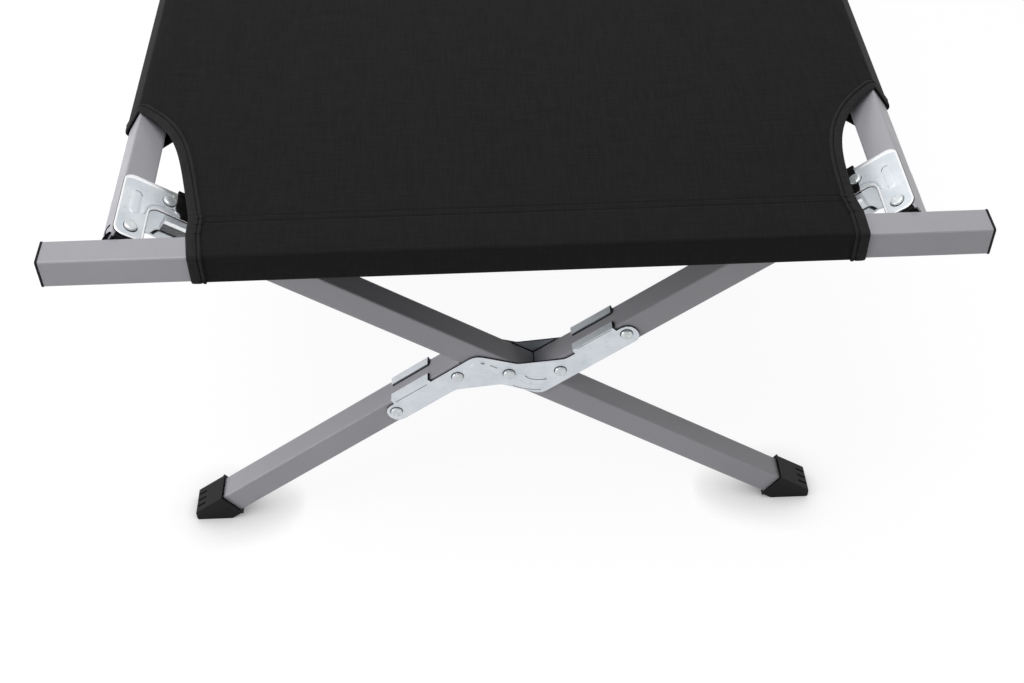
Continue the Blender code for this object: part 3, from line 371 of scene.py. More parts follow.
PLASTIC = moulded_plastic("black_moulded_plastic", 0.12)
MATT_PLASTIC = moulded_plastic("matt_black_plastic", 0.0)
CLOTH_BLACK = woven("black_oxford_weave", (0.0054, 0.0054, 0.0056), (0.0078, 0.0078, 0.0080), pitch=0.0009,
                    sheen=0.010, depth=0.00004, specular=0.10, gap_shade=0.18)
TAPE_BLACK = woven("black_binding_tape", (0.0095, 0.0095, 0.0098), (0.0175, 0.0175, 0.0179), pitch=0.0014,
                   sheen=0.03, depth=0.00010, specular=0.12, gap_shade=0.30)
THREAD = mottled("black_thread", (1800.0, 2.0), (0.35, 0.65), (0.0035, 0.0035, 0.0037),
                 (0.0068, 0.0068, 0.0070), (0.62, 0.80), (1800.0, 2.0), 0.0001, 0.5, specular=0.10)

# Each row has the end of a node's name, its finish, and the width and steps of its softened edges
FINISHES = (("_bracket", BRACKET_ZINC, 0.0005, 2), ("_plate", ZINC, 0.0005, 2), ("_rivet", ZINC, 0.0, 0),
            ("_foot", PLASTIC, 0.0012, 3), ("_leg_end", PLASTIC, 0.0006, 2), ("_plug", PLASTIC, 0.0, 0),
            ("_cap", PLASTIC, 0.0006, 2), ("", PAINT, 0.0, 0))


def soften_edges(part, width, segments):
    step = part.modifiers.new("soft_edges", "BEVEL")
    step.width = width
    step.segments = segments
    step.limit_method = "ANGLE"
    step.angle_limit = math.radians(50.0)
    step.harden_normals = False


for node_name, part_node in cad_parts.items():
    if node_name.startswith("cover_"):
        continue
    finish, edge_width, edge_steps = next(row[1:] for row in FINISHES if node_name.endswith(row[0]))
    part_node.data.materials.clear()
    part_node.data.materials.append(finish)
    if edge_width:
        soften_edges(part_node, edge_width, edge_steps)


# Meshes

def mesh_object(name, vertices, faces, material, sharp=45.0):
    mesh = bpy.data.meshes.new(name)
    mesh.from_pydata([tuple(v) for v in vertices], [], faces)
    mesh.validate()
    shape = bmesh.new()
    shape.from_mesh(mesh)
    bmesh.ops.recalc_face_normals(shape, faces=shape.faces)
    shape.to_mesh(mesh)
    shape.free()
    mesh.polygons.foreach_set("use_smooth", [True] * len(mesh.polygons))
    mesh.set_sharp_from_angle(angle=math.radians(sharp))
    mesh.materials.append(material)
    piece = bpy.data.objects.new(name, mesh)
    bpy.context.scene.collection.objects.link(piece)
    return piece


def settle(piece):
    """The piece with its modifiers applied to its mesh."""
    bpy.context.view_layer.update()
    graph = bpy.context.evaluated_depsgraph_get()
    mesh = bpy.data.meshes.new_from_object(piece.evaluated_get(graph))
    piece.modifiers.clear()
    piece.data = mesh
    return piece


def finished(piece, body):
    """The piece, moving with this body."""
    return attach(piece, body)


def ease(value):
    value = min(max(value, 0.0), 1.0)
    return value * value * (3.0 - 2.0 * value)


def line_of(*points):
    return [Vector(point) for point in points]


def directions(path):
    """The direction of an open path at each of its points."""
    last = len(path) - 1
    return [(path[min(k + 1, last)] - path[max(k - 1, 0)]).normalized() for k in range(last + 1)]


def fillet(points, radii):
    """An open run of 2D points with its inner corners rounded."""
    result = [Vector(points[0])]
    for before, corner, after, radius in zip(points, points[1:], points[2:], radii):
        corner = Vector(corner)
        if radius <= 0.0:
            result.append(corner)
            continue
        back = (Vector(before) - corner).normalized()
        ahead = (Vector(after) - corner).normalized()
        reach = radius * math.tan((math.pi - back.angle(ahead)) / 2)
        centre = corner + (back + ahead).normalized() * math.hypot(radius, reach)
        first = corner + back * reach - centre
        last = corner + ahead * reach - centre
        turns = [first.lerp(last, k / ARC_STEPS).normalized() for k in range(ARC_STEPS + 1)]
        result += [centre + turn * radius for turn in turns]
    result.append(Vector(points[-1]))
    return result


def rounded(corners):
    """A closed outline of (x, y, radius) corners as points, with an arc in each corner."""
    points = [Vector(corner[:2]) for corner in corners]
    return fillet([points[-1]] + points + [points[0]], [corner[2] for corner in corners])[1:-1]


def stroke(path, width):
    """Closed outline of a line of points drawn with a round pen of this width."""
    def cap(end, side):
        return [end + Matrix.Rotation(-math.pi * step / PEN_STEPS, 2) @ side for step in range(1, PEN_STEPS)]

    sides = [Vector((-along.y, along.x)) * (width / 2) for along in directions(path)]
    left = [point + side for point, side in zip(path, sides)]
    right = [point - side for point, side in zip(path, sides)]
    return left + cap(path[-1], sides[-1]) + right[::-1] + cap(path[0], -sides[0])


def bow(start, middle, end):
    """Points along the curve that starts and ends here and passes the middle point half way."""
    start, middle, end = Vector(start), Vector(middle), Vector(end)
    pull = middle * 2 - (start + end) / 2
    shares = [step / BOW_STEPS for step in range(BOW_STEPS + 1)]
    return [start * (1 - t) ** 2 + pull * 2 * t * (1 - t) + end * t ** 2 for t in shares]


def circle(centre, radius):
    turns = [2 * math.pi * k / HEAD_SIDES for k in range(HEAD_SIDES)]
    return [centre + Vector((math.cos(turn), math.sin(turn))) * radius for turn in turns]


def ring_object(name, forms, material, sharp=45.0):
    """Closed forms as one mesh. Each form is a run of rings of points, with a face across both its ends."""
    vertices = []
    faces = []
    for rings in forms:
        count = len(rings[0])
        start = len(vertices)
        end = start + (len(rings) - 1) * count
        vertices += [point for ring in rings for point in ring]
        faces += [tuple(range(start, start + count)), tuple(range(end, end + count))]
        for here in range(start, end, count):
            for k in range(count):
                a = here + k
                b = here + (k + 1) % count
                faces.append((a, b, b + count, a + count))
    return mesh_object(name, vertices, faces, material, sharp)


def steel_rings(name, body, forms, material, sharp):
    finished(ring_object(name, forms, material, sharp), body)


def painted_shade_boxes(name, side, corners):
    """Small boxes of painted shade as one piece, each from its low to its high corner along the legs of this
    side.
    """
    forms = []
    for (x0, y0, z0), (x1, y1, z1) in corners:
        flat = ((x0, y0), (x1, y0), (x1, y1), (x0, y1))
        forms.append([[FRAMES[side] @ Vector((x, y, z)) for x, y in flat] for z in (z0, z1)])
    steel_rings(name, BODY[side], forms, PAINTED_SHADE_STEEL, 30.0)


def stitches(name, path, normals, pitch, length):
    """A row of sewn stitches: small rounded lengths of thread lying on the cloth."""
    vertices = []
    faces = []
    travelled = pitch / 2
    for k in range(len(path) - 1):
        step = path[k + 1] - path[k]
        while travelled < step.length:
            share = travelled / step.length
            normal = normals[k].lerp(normals[k + 1], share)
            faces += stitch_faces(len(vertices))
            vertices += stitch_points(path[k] + step * share, step.normalized(), normal, length)
            travelled += pitch
        travelled -= step.length
    return mesh_object(name, vertices, faces, THREAD, 180.0)


def stitch_points(point, along, normal, length):
    """Three rings of points round a stitch, then its two ends."""
    across = normal.cross(along).normalized()
    points = []
    for place, swell in STITCH_RINGS:
        for k in range(STITCH_SIDES):
            turn = 2 * math.pi * k / STITCH_SIDES
            offset = across * (math.cos(turn) * STITCH_WIDTH / 2) + normal * (math.sin(turn) * STITCH_HEIGHT)
            points.append(point + along * (place * length) + offset * swell)
    sunk = point - normal * (STITCH_HEIGHT * STITCH_SUNK)
    return points + [sunk - along * (length / 2), sunk + along * (length / 2)]


def stitch_faces(start):
    last_ring = start + 2 * STITCH_SIDES
    tail = start + 3 * STITCH_SIDES
    faces = []
    for k in range(STITCH_SIDES):
        following = (k + 1) % STITCH_SIDES
        for ring in (start, start + STITCH_SIDES):
            a = ring + k
            b = ring + following
            faces.append((a, b, b + STITCH_SIDES, a + STITCH_SIDES))
        faces.append((start + following, start + k, tail))
        faces.append((last_ring + k, last_ring + following, tail + 1))
    return faces


# Rivet heads, pressed ribs and rolled edges over the solids' plainer ones, and lines of painted shade and
# highlight

def laid_strokes(lines, lay, profile):
    """Rings of lines drawn with a round pen: outlines of falling width, each higher than the last."""
    return [[[lay(point, rise) for point in stroke(path, width * share)] for share, rise in profile]
            for path, width in lines]


def rivet_heads(name, body, heads):
    """Domed heads as one piece. Each has a centre on its plate and the way it faces."""
    forms = []
    for centre, facing in heads:
        turn = facing.to_track_quat("Z", "Y").to_matrix()
        forms.append([[centre + turn @ Vector((point.x, point.y, rise * HEAD_HEIGHT))
                       for point in circle(Vector((0.0, 0.0)), share * HEAD_RADIUS)]
                      for share, rise in HEAD_PROFILE])
    steel_rings(name, body, forms, RIVET, 50.0)


class SteelFace:
    """A face of sheet steel. Its lay takes a flat point and a rise to a place on or over the face."""

    def __init__(self, name, body, lay):
        self.name = name
        self.body = body
        self.lay = lay

    def strokes(self, suffix, lines, profile, material, sharp):
        steel_rings(self.name + suffix, self.body, laid_strokes(lines, self.lay, profile), material, sharp)

    def ribs(self, lines, material):
        self.strokes("_ribs", lines, RIB_PROFILE, material, 80.0)

    def creases(self, suffix, paths, profile=CREASE_PROFILE):
        """Painted shade: sharp dark lines where the steel is pressed or folded."""
        self.strokes(suffix, [(path, CREASE) for path in paths], profile, PAINTED_SHADE_STEEL, 60.0)

    def strips(self, suffix, outlines, section, material=PAINTED_SHADE_STEEL, inset=lambda point, a: a):
        """The section carried round closed outlines. The inset says how far in each of its points lies."""
        vertices = []
        faces = []
        steps = len(section)
        for outline in outlines:
            count = len(outline)
            start = len(vertices)
            area = sum(a.x * b.y - b.x * a.y for a, b in zip(outline, outline[1:] + outline[:1]))
            turn = math.copysign(1.0, area)
            for k, point in enumerate(outline):
                along = (outline[(k + 1) % count] - outline[k - 1]).normalized()
                inner = Vector((-along.y, along.x)) * turn
                vertices += [self.lay(point + inner * inset(point, a), b) for a, b in section]
                here = start + k * steps
                ahead = start + (k + 1) % count * steps
                for j in range(steps):
                    after = (j + 1) % steps
                    faces.append((here + j, here + after, ahead + after, ahead + j))
        piece = mesh_object(self.name + suffix, vertices, faces, material, 60.0)
        finished(piece, self.body)

    def head_seats(self, spots, shade):
        """Painted shade: a dark line round each rivet head, wider on the shaded side."""
        outlines = [circle(spot + Vector(shade), HEAD_RADIUS + 0.0001) for spot in spots]
        self.strips("_head_seats", outlines, SEAT_SECTION)


def rolled_inset(point, a):
    """Makes a bracket's rolled edge, which carries a painted highlight, widest along the rear, where the
    steel is folded down.
    """
    return a if a <= 0.0 else a * (0.55 + 1.5 * ease((-0.0060 - point.y) / 0.0060))


def cut_edge_inset(point, a):
    """Keeps the painted shade of the cut edge off the lips, where the steel is folded and not cut."""
    on_lip = LIP_OUTER - 0.0002 <= abs(point.x) <= LIP_INNER + 0.0002
    height = point.y + math.copysign(HALF_LEG_OFFSET, point.x)
    return a + 0.0006 if on_lip and height > HALF else a


def leg_plate_outline():
    """Outline of the plate on the half legs, pivot at the origin."""
    tip = RIVET_FAR + 0.0095
    slope = 0.0008
    high = HALF_LEG_OFFSET + STEEL_FACE
    low = -HALF_LEG_OFFSET + STEEL_FACE
    left_top = HALF_LEG_OFFSET + 0.0090
    left_low = HALF_LEG_OFFSET - 0.0120
    right_top = -HALF_LEG_OFFSET + 0.0090
    right_low = -HALF_LEG_OFFSET - 0.0123
    over = HALF_LEG_OFFSET + 0.0103
    return rounded([
        (-tip, left_low, 0.009), (-tip, left_top, 0.009), (-LIP_INNER - slope, left_top, 0.0),
        (-LIP_INNER, high, 0.0), (-LIP_OUTER, high, 0.0), (-LIP_OUTER + slope, over, 0.0),
        (-0.010, over, 0.013), (0.0135, 0.0045, 0.013), (0.050, right_top, 0.013),
        (LIP_OUTER - slope, right_top, 0.0),
        (LIP_OUTER, low, 0.0), (LIP_INNER, low, 0.0), (LIP_INNER + slope, right_top, 0.0),
        (tip, right_top, 0.009), (tip, right_low, 0.009), (0.0065, right_low - 0.0005, 0.011),
        (-0.0135, -0.0065, 0.013), (-0.050, left_low, 0.013)])


def lip_gap_shade(station, y):
    """Painted shade in the gaps under the back lips' ends, and on the lips' cut ends at their right."""
    corners = []
    back = y + HALF + GAP - LIP_REACH
    front = y - HALF - GAP + LIP_REACH
    for along, level in ((-1.0, HALF_LEG_OFFSET), (1.0, -HALF_LEG_OFFSET)):
        start, end = sorted((along * LIP_OUTER, along * LIP_INNER))
        base = level + HALF
        top = level + STEEL_FACE
        corners += [((start + 0.0004, back - 0.0012, base), (end, back + 0.0002, base + GAP + 0.0004)),
                    ((end - BURIED, back - 0.0004, base), (end + LIP_CUT, y + STEEL_FACE, top)),
                    ((end - BURIED, y - STEEL_FACE + 0.0003, base - 0.0020), (end + LIP_CUT, front, top))]
    painted_shade_boxes(f"{station}_legs_lip_gaps", "right", corners)


def leg_meeting_shade(station, y):
    """Painted shade: dark lines where the upper half leg meets the through leg, and beside both along the
    plates.
    """
    top = HALF - HALF_LEG_OFFSET
    across = FRAMES["right"].inverted() @ FRAMES["left"]
    edge = across @ Vector((0.0, 0.0, HALF))
    along = across.to_3x3() @ Vector((1.0, 0.0, 0.0))
    meeting = edge + along * ((top - edge.z) / along.z)
    start = (across.inverted() @ meeting).x
    half = [((meeting.x - 0.0005, y - HALF, top - 0.0004), (meeting.x + 0.0007, y + HALF, top + 0.0005))]
    through = []
    for sign in (-1.0, 1.0):
        low, high = sorted((y + sign * (HALF + GAP - 0.0006), y + sign * (HALF + GAP + 0.0001)))
        half.append(((meeting.x, low, top - 0.0002), (meeting.x + MEETING_HALF, high, top + 0.0006)))
        through.append(((start - MEETING_THROUGH, low, HALF - 0.0002), (start, high, HALF + 0.0006)))
    painted_shade_boxes(f"{station}_half_leg_meeting", "right", half)
    painted_shade_boxes(f"{station}_through_leg_meeting", "left", through)


def dress_plates(station, y):
    """Heads and ribs of one station's leg plates, with painted shade in the creases, gaps and along the cut
    edges.
    """
    rib = bow((-0.0056, 0.0092), (-0.0100, 0.0200), (-0.0178, 0.0268))
    ribs = [(rib, PLATE_RIB), ([-point for point in rib], PLATE_RIB)]
    rib_lines = [bow((-0.0110, 0.0268), (-0.0098, 0.0256), (-0.0088, 0.0244)),
                 bow((-0.0060, 0.0196), (-0.0048, 0.0166), (-0.0034, 0.0132)),
                 bow((0.0100, -0.0112), (0.0128, -0.0190), (0.0218, -0.0262))]
    lines = [bow((-0.0065, -0.0145), (0.0000, -0.0258), (0.0095, -0.0350)),
             line_of((-0.1022, 0.0366), (-0.0840, 0.0365), (-0.0660, 0.0364)),
             line_of((0.0655, -0.0134), (0.0840, -0.0135), (0.1020, -0.0136))]
    pivot = Vector((0.0, 0.0))
    spots = [Vector((along * reach, -along * HALF_LEG_OFFSET)) for along in (-1.0, 1.0)
             for reach in (RIVET_NEAR, RIVET_FAR)]
    lip_gap_shade(station, y)
    leg_meeting_shade(station, y)
    pivot_heads = []
    for which, sign, tail in (("front", -1.0, 0.0), ("back", 1.0, GAP)):
        facing = Vector((0.0, sign, 0.0))

        def lay(point, rise):
            return FRAMES["right"] @ Vector((point.x, y + sign * (STEEL_FACE + rise), point.y))

        plate = SteelFace(f"{station}_legs_{which}", "right_frame", lay)
        rivet_heads(plate.name + "_rivet_heads", plate.body, [(lay(spot, tail), facing) for spot in spots])
        plate.head_seats(spots + [pivot], (0.0, 0.0002))
        plate.ribs(ribs, ZINC)
        plate.creases("_creases", lines)
        plate.creases("_rib_creases", rib_lines, RIB_CREASE_PROFILE)
        # Painted shade along the plate's cut edge
        plate.strips("_cut_edge", [leg_plate_outline()], CUT_SECTION, inset=cut_edge_inset)
        pivot_heads.append((lay(pivot, GAP), facing))
    rivet_heads(f"{station}_pivot_rivet_heads", "left_frame", pivot_heads)


def beside_rail(side, y, out):
    """Places points by their way inwards from a rail's line, outwards along the bed, and over the line."""
    line = RAIL_LINE[side]

    def place(inwards, outwards, height):
        return FRAMES[side] @ Vector((line.x - SIDE[side] * inwards, y + out * outwards, line.y + height))

    return place


def bracket_plate():
    """Outline of an end bracket's upper plate, as (inwards from the rail, out from the leg's plane)."""
    edge = HALF - GAP
    back = 0.0138
    arm = 0.058
    inner = 0.0116
    tip = 0.050
    end = 0.033
    lip = STEEL_FACE - 0.005
    return rounded([(-edge, -back, 0.008), (-edge, arm, 0.008), (inner, arm, 0.004),
                    (inner, STEEL_FACE, 0.008), (tip, STEEL_FACE, 0.0008), (tip, lip, 0.0015),
                    (end, lip, 0.0015), (end - 0.0015, -back, 0.0015)])


def dress_bracket(station, side, y):
    """Rivet heads of one rail bracket, and at the bed's ends the forms of its plate, web and block."""
    out = {"front": -1.0, "middle": 0.0, "rear": 1.0}[station]
    place = beside_rail(side, y, out or 1.0)

    def lay(point, rise):
        return place(point.x, point.y, STEEL_FACE + rise)

    name = f"{station}_{side}_bracket"
    up = FRAMES[side].to_3x3() @ Vector((0.0, 0.0, 1.0))
    on_rail = [RAIL_RIVET] if out else [-MIDDLE_RIVET, MIDDLE_RIVET]
    spots = line_of((ARM_RIVET, 0.0), *((0.0, along) for along in on_rail))
    heads = [(lay(spot, 0.0), up) for spot in spots] + [(lay(spot, -2 * STEEL_FACE), -up) for spot in spots]
    rivet_heads(name + "_rivet_heads", BODY[side], heads)
    if not out:
        return
    straight = line_of((0.0, 0.0076), (0.0, 0.0170), (0.0, 0.0264))
    corner = bow((0.0078, 0.0240), (0.0112, 0.0128), (0.0215, 0.0076))
    bend = bow((-0.0018, 0.0037), (0.0020, 0.0036), (0.0041, 0.0070))
    arm_line = line_of((0.0285, 0.0076), (0.0310, 0.0076), (0.0334, 0.0076))
    plate = SteelFace(name, BODY[side], lay)
    plate.ribs([(straight, BRACKET_RIB), (corner, ARC_RIB)], BRACKET_ZINC)
    # The rolled edge carries a painted highlight; the gap under the edge, the head seats and the creases are
    # painted shade
    plate.strips("_edge", [bracket_plate()], ROLL_SECTION, PAINTED_HIGHLIGHT_ZINC, rolled_inset)
    plate.strips("_gap", [bracket_plate()], GAP_SECTION)
    plate.head_seats(spots, (0.0002, 0.0002))
    plate.creases("_creases", [bend, arm_line])
    dress_web(name, side, place)
    dress_leg_end(f"{station}_{side}_leg_end", side, place)


def dress_web(name, side, place):
    """Faces of the bead along the web: a painted highlight over its crest, and on the left painted shade
    under it.
    """
    foot = Vector((0.0, -WEB_LOW))
    crest = Vector((BEAD_DEPTH, BEAD_CREST))
    highlight_end = crest.lerp(foot, 0.32)
    # The crest is painted highlight, and the left lower slope painted shade
    slopes = (("upper", ZINC, Vector((0.0, BEAD_TOP)), crest, 0.0010),
              ("crest", PAINTED_HIGHLIGHT_ZINC, crest, highlight_end, 0.0014),
              ("lower", PAINTED_SHADE_BEAD if side == "left" else ZINC, highlight_end, foot, 0.0016))
    for which, material, start, end, inset in slopes:
        fall = (end - start).normalized()
        normal = Vector((-fall.y, fall.x))
        normal = normal if normal.x > 0 else -normal
        section = (start - normal * 0.0003, start + normal * 0.00012,
                   end + normal * 0.00012, end - normal * 0.0003)
        rings = [[place(inwards, STEEL_FACE + point.x, point.y) for point in section]
                 for inwards in (BEAD_START + inset, WEB_END)]
        steel_rings(f"{name}_bead_{which}_face", BODY[side], [rings], material, 40.0)
    side_on = HALF + 0.0006
    low = 0.0004 - WEB_LOW
    flat = rounded([(side_on, -HALF, 0.0), (0.0218, -HALF, 0.003), (0.0246, low, 0.004),
                    (BEAD_START, low, 0.0), (BEAD_START, HALF, 0.0), (side_on, HALF, 0.0)])
    rings = [[place(point.x, STEEL_FACE + rise, point.y) for point in flat] for rise in (-0.0003, 0.0001)]
    steel_rings(f"{name}_web_face", BODY[side], [rings], ZINC, 40.0)


def dress_leg_end(name, side, place):
    """The block's shoulder past the bracket's arm: a cap over the web's strip, a ledge and a welt."""
    near = SHOULDER_START[side]
    cut = near + SHOULDER_CUT[side]

    def strip(start, low, high):
        return [(start, low), (start, high), (SHOULDER_END, high), (SHOULDER_END, low)]

    cap = [(near, -SHOULDER_BACK), (near, 0.0050), (cut, 0.0112), (cut + 0.0005, SHOULDER_FRONT),
           (SHOULDER_END, SHOULDER_FRONT), (SHOULDER_END, -SHOULDER_BACK)]
    layers = ((cap, HALF - 0.0010, STEEL_FACE + 0.0006),
              (strip(near, -LEDGE_BACK, -LEDGE_FRONT), -HALF, HALF + 0.0014),
              (strip(near + 0.0006, -WELT_BACK, -SHOULDER_BACK), HALF, STEEL_FACE + 0.0009))
    forms = [[[place(*corner, height) for corner in loop] for height in heights] for loop, *heights in layers]
    piece = ring_object(name + "_shoulder", forms, PLASTIC, 40.0)
    soften_edges(piece, 0.0003, 2)
    finished(settle(piece), BODY[side])


def rail_lug(end, side):
    """Plastic lug of the plug on the rail's outer face, with its sprung hook."""
    place = beside_rail(side, 0.0, ENDS[end])

    def lay(point, rise):
        return place(-HALF - rise, BAR_Y - point.y, point.x)

    lug = line_of((-0.0122, 0.0300), (-0.0100, 0.0298), (-0.0018, 0.0267), (0.0068, 0.0207), (0.0122, 0.0150),
                  (0.0122, 0.0132), (-0.0122, 0.0132))
    hook = line_of((0.0030, 0.0322), (-0.0036, 0.0360), (-0.0075, 0.0352), (-0.0050, 0.0280))
    forms = [[[lay(point, rise) for point in lug] for rise in (-0.0002, 0.0004)]]
    forms += laid_strokes([(hook, 0.0015)], lay, ((1.0, -0.0002), (0.7, 0.0005)))
    piece = ring_object(f"{end}_{side}_rail_lug", forms, MATT_PLASTIC, 40.0)
    finished(piece, BODY[side])


for rail_end in ENDS:
    rail_lug(rail_end, "left")
for station_name, station_y in STATIONS.items():
    dress_plates(station_name, station_y)
    for station_side in SIDE:
        dress_bracket(station_name, station_side, station_y)


# Cover

def ridge_height(side):
    angle = ANGLE[side]
    return RAIL_Z + HALF * (math.cos(angle) + math.sin(angle))


def sheet_top(x, y):
    """Height of the cover's upper surface: bar height at the ends, rail height between, a slight sag."""
    bar_level = RAIL_Z + HALF + GAP
    blend = (x + RAIL_X) / (2 * RAIL_X)
    rail_level = ridge_height("left") * (1 - blend) + ridge_height("right") * blend + GAP
    rise = ease((BAR_Y - HALF - abs(y)) / (CORNER_LENGTH - HALF))
    across = 1.0 - (x / RAIL_X) ** 2
    return bar_level + (rail_level - bar_level) * rise - SAG * across * rise + CLOTH


def sheet_edge(side, y):
    """Half width of the cloth at this place along the bed: its corners are cut away in a curve."""
    edge = EDGES[side]
    from_bar = BAR_Y - abs(y)
    if from_bar <= HALF:
        share = max((from_bar + HALF) / TUBE, 0.0)
        return edge["front"] + (edge["back"] - edge["front"]) * share - FOLD
    if from_bar <= HEM_SEAM:
        share = (from_bar - HALF) / (HEM_SEAM - HALF)
        return edge["back"] + (edge["hem"] - edge["back"]) * share - FOLD
    reach = min((from_bar - HEM_SEAM) / (CORNER_LENGTH - HEM_SEAM), 1.0)
    curve = edge["straight"] * reach + (1.0 - edge["straight"]) * reach ** edge["power"]
    start = edge["hem"] - FOLD
    return start + (RIDGE[side] - start) * curve


def wrap_profile(side):
    """Outer surface of the cover round a rail, from the ridge to the side seam, as (x, z) points."""
    angle = ANGLE[side]
    sign = SIDE[side]
    out = Vector((sign * math.cos(angle), math.sin(angle)))
    top = Vector((-sign * math.sin(angle), math.cos(angle)))
    centre = Vector((sign * RAIL_X, RAIL_Z))
    skin = HALF + GAP + CLOTH + SWELL
    level = ridge_height(side) + GAP + CLOTH
    ridge = Vector((sign * RAIL_X + (skin - (level - RAIL_Z) * out.y) / out.x, level))
    outer = centre + (out - top) * skin
    under = centre + (-out - top) * skin
    seam = Vector((sign * SLEEVE_SEAM_X, sheet_top(sign * SLEEVE_SEAM_X, 0.0) - CLOTH - SEAM_DROP))
    start = Vector((sign * (RAIL_X - 0.004), level))
    return fillet([start, ridge, outer, under, seam], [RIDGE_ROUND, ROUND, ROUND])[1:]


RIDGE = {side: abs(wrap_profile(side)[0].x) for side in SIDE}


def lower_reach(point):
    """How far the side sleeve's lower layer runs on past the sleeve's end, at this point of its section."""
    return max(0.0, LOWER_START - abs(point.x)) * LOWER_SLOPE if point.y < RAIL_Z else 0.0


def spaced(start, end, step):
    count = max(1, math.ceil(abs(end - start) / step - CLOSE))
    return [start + (end - start) * k / count for k in range(count + 1)]


def cover_rows():
    """Places along the bed, from the front flap to the rear one, closer together where the shape changes."""
    half = [HEM_Y + FLAP, HEM_Y + FLAP / 2, HEM_Y + 0.0004, HEM_Y]
    half += spaced(HEM_Y - HEM_ROW_STEP, HEM_Y - 9 * HEM_ROW_STEP, HEM_ROW_STEP)
    half += spaced(HEM_Y - 0.010, REACH, CORNER_ROW_STEP)
    half += spaced(REACH - END_ROW_STEP, REACH - LAST_ROWS, END_ROW_STEP)
    half += spaced(REACH - 0.045, LEG_OPENING, LONG_ROW_STEP)
    half += spaced(LEG_OPENING / 2, 0.0, LEG_OPENING / 2)[:-1]
    return [-y for y in half] + [0.0] + list(reversed(half))


def seam_dip(distance):
    """How far a stitch row pulls the cloth down, at a distance from it."""
    return DIP_DEPTH * max(0.0, 1.0 - abs(distance) / DIP_WIDTH)


def main_cover():
    """Sheet and side sleeves in one cloth, from hem seam to hem seam, with a hidden flap at each end."""
    rows = cover_rows()
    wraps = {side: wrap_profile(side) for side in SIDE}
    count = len(wraps["left"])
    vertices = []
    index = {}
    for r, y in enumerate(rows):
        drop = FLAP_DROP if abs(y) > HEM_Y + 0.0002 else seam_dip(abs(y) - HEM_Y - INNER_ROW)
        left = -sheet_edge("left", y)
        right = sheet_edge("right", y)
        for c in range(SHEET_COLUMNS + 1):
            x = left + (right - left) * c / SHEET_COLUMNS
            index[r, c] = len(vertices)
            vertices.append((x, y, sheet_top(x, y) - drop))
        if abs(y) > REACH + CLOSE:
            continue
        near_end = max(0.0, (abs(y) - REACH + LAST_ROWS) / LAST_ROWS)
        for side, first, step in (("left", -1, -1), ("right", SHEET_COLUMNS + 1, 1)):
            for k, point in enumerate(wraps[side][1:]):
                index[r, first + step * k] = len(vertices)
                vertices.append((point.x, y + math.copysign(lower_reach(point) * near_end, y), point.y))
    faces = []
    for r in range(len(rows) - 1):
        in_opening = max(abs(rows[r]), abs(rows[r + 1])) <= LEG_OPENING + CLOSE
        for c in range(-count + 1, SHEET_COLUMNS + count - 1):
            corners = [(r, c), (r, c + 1), (r + 1, c + 1), (r + 1, c)]
            closed = not in_opening or max(-c, c + 1 - SHEET_COLUMNS) < count - OPENING_STEPS
            if closed and all(corner in index for corner in corners):
                faces.append(tuple(index[corner] for corner in corners))
    return cloth_object("cover_cloth", vertices, faces)


def cloth_object(name, vertices, faces):
    """A sheet with the cloth's thickness on its inner side."""
    piece = mesh_object(name, vertices, faces, CLOTH_BLACK, 60.0)
    up = sum(p.normal.z for p in piece.data.polygons if abs(p.center.x) < 0.2 and p.center.z > RAIL_Z)
    if up < 0:
        piece.data.flip_normals()
    step = piece.modifiers.new("cloth", "SOLIDIFY")
    step.thickness = CLOTH_THICKNESS
    step.offset = -1.0
    step.use_even_offset = True
    return settle(piece)


def end_profile():
    """Outer surface round an end bar, as (out from the bar's line, height over it), hem seam to hem seam."""
    skin = HALF + GAP + CLOTH
    corners = [(skin, skin), (skin, -skin), (-skin, -skin)]
    return fillet([(-HEM_SEAM, skin)] + corners + [(-HEM_SEAM + 0.0006, skin - 0.0034)], [ROUND] * 3)


def sleeve_point(sign, x, out, height):
    """A point of an end sleeve. Its upper layer follows the sheet where that rises towards the rails."""
    y = sign * (BAR_Y + out)
    lift = sheet_top(x, y) - (RAIL_Z + HALF + GAP + CLOTH) if out < -HALF else 0.0
    return Vector((x, y, RAIL_Z + height + lift))


def sleeve_edge(side, out, on_top):
    """Half width of an end sleeve's cloth: its lower layer is as wide as its front."""
    return sheet_edge(side, BAR_Y + out) if on_top else EDGES[side]["front"] - FOLD


def end_cover(end):
    """The cover's sleeve round an end bar, up to the hem seam."""
    profile = end_profile()
    dense = [profile[0] + Vector((HEM_ROW_STEP * k, 0.0)) for k in range(HEM_ROWS)]
    dense += [Vector((-HALF, profile[0].y))] + profile[1:]
    vertices = []
    for k, (out, height) in enumerate(dense):
        left = -sleeve_edge("left", out, height > 0.0)
        right = sleeve_edge("right", out, height > 0.0)
        dip = seam_dip(out + HEM_SEAM - OUTER_ROW) if k < HEM_ROWS else 0.0
        for c in range(HEM_COLUMNS + 1):
            x = left + (right - left) * c / HEM_COLUMNS
            vertices.append(sleeve_point(ENDS[end], x, out, height - dip))
    faces = []
    for k in range(len(dense) - 1):
        for c in range(HEM_COLUMNS):
            a = k * (HEM_COLUMNS + 1) + c
            faces.append((a, a + 1, a + HEM_COLUMNS + 2, a + HEM_COLUMNS + 1))
    return cloth_object(f"cover_{end}_hem", vertices, faces)


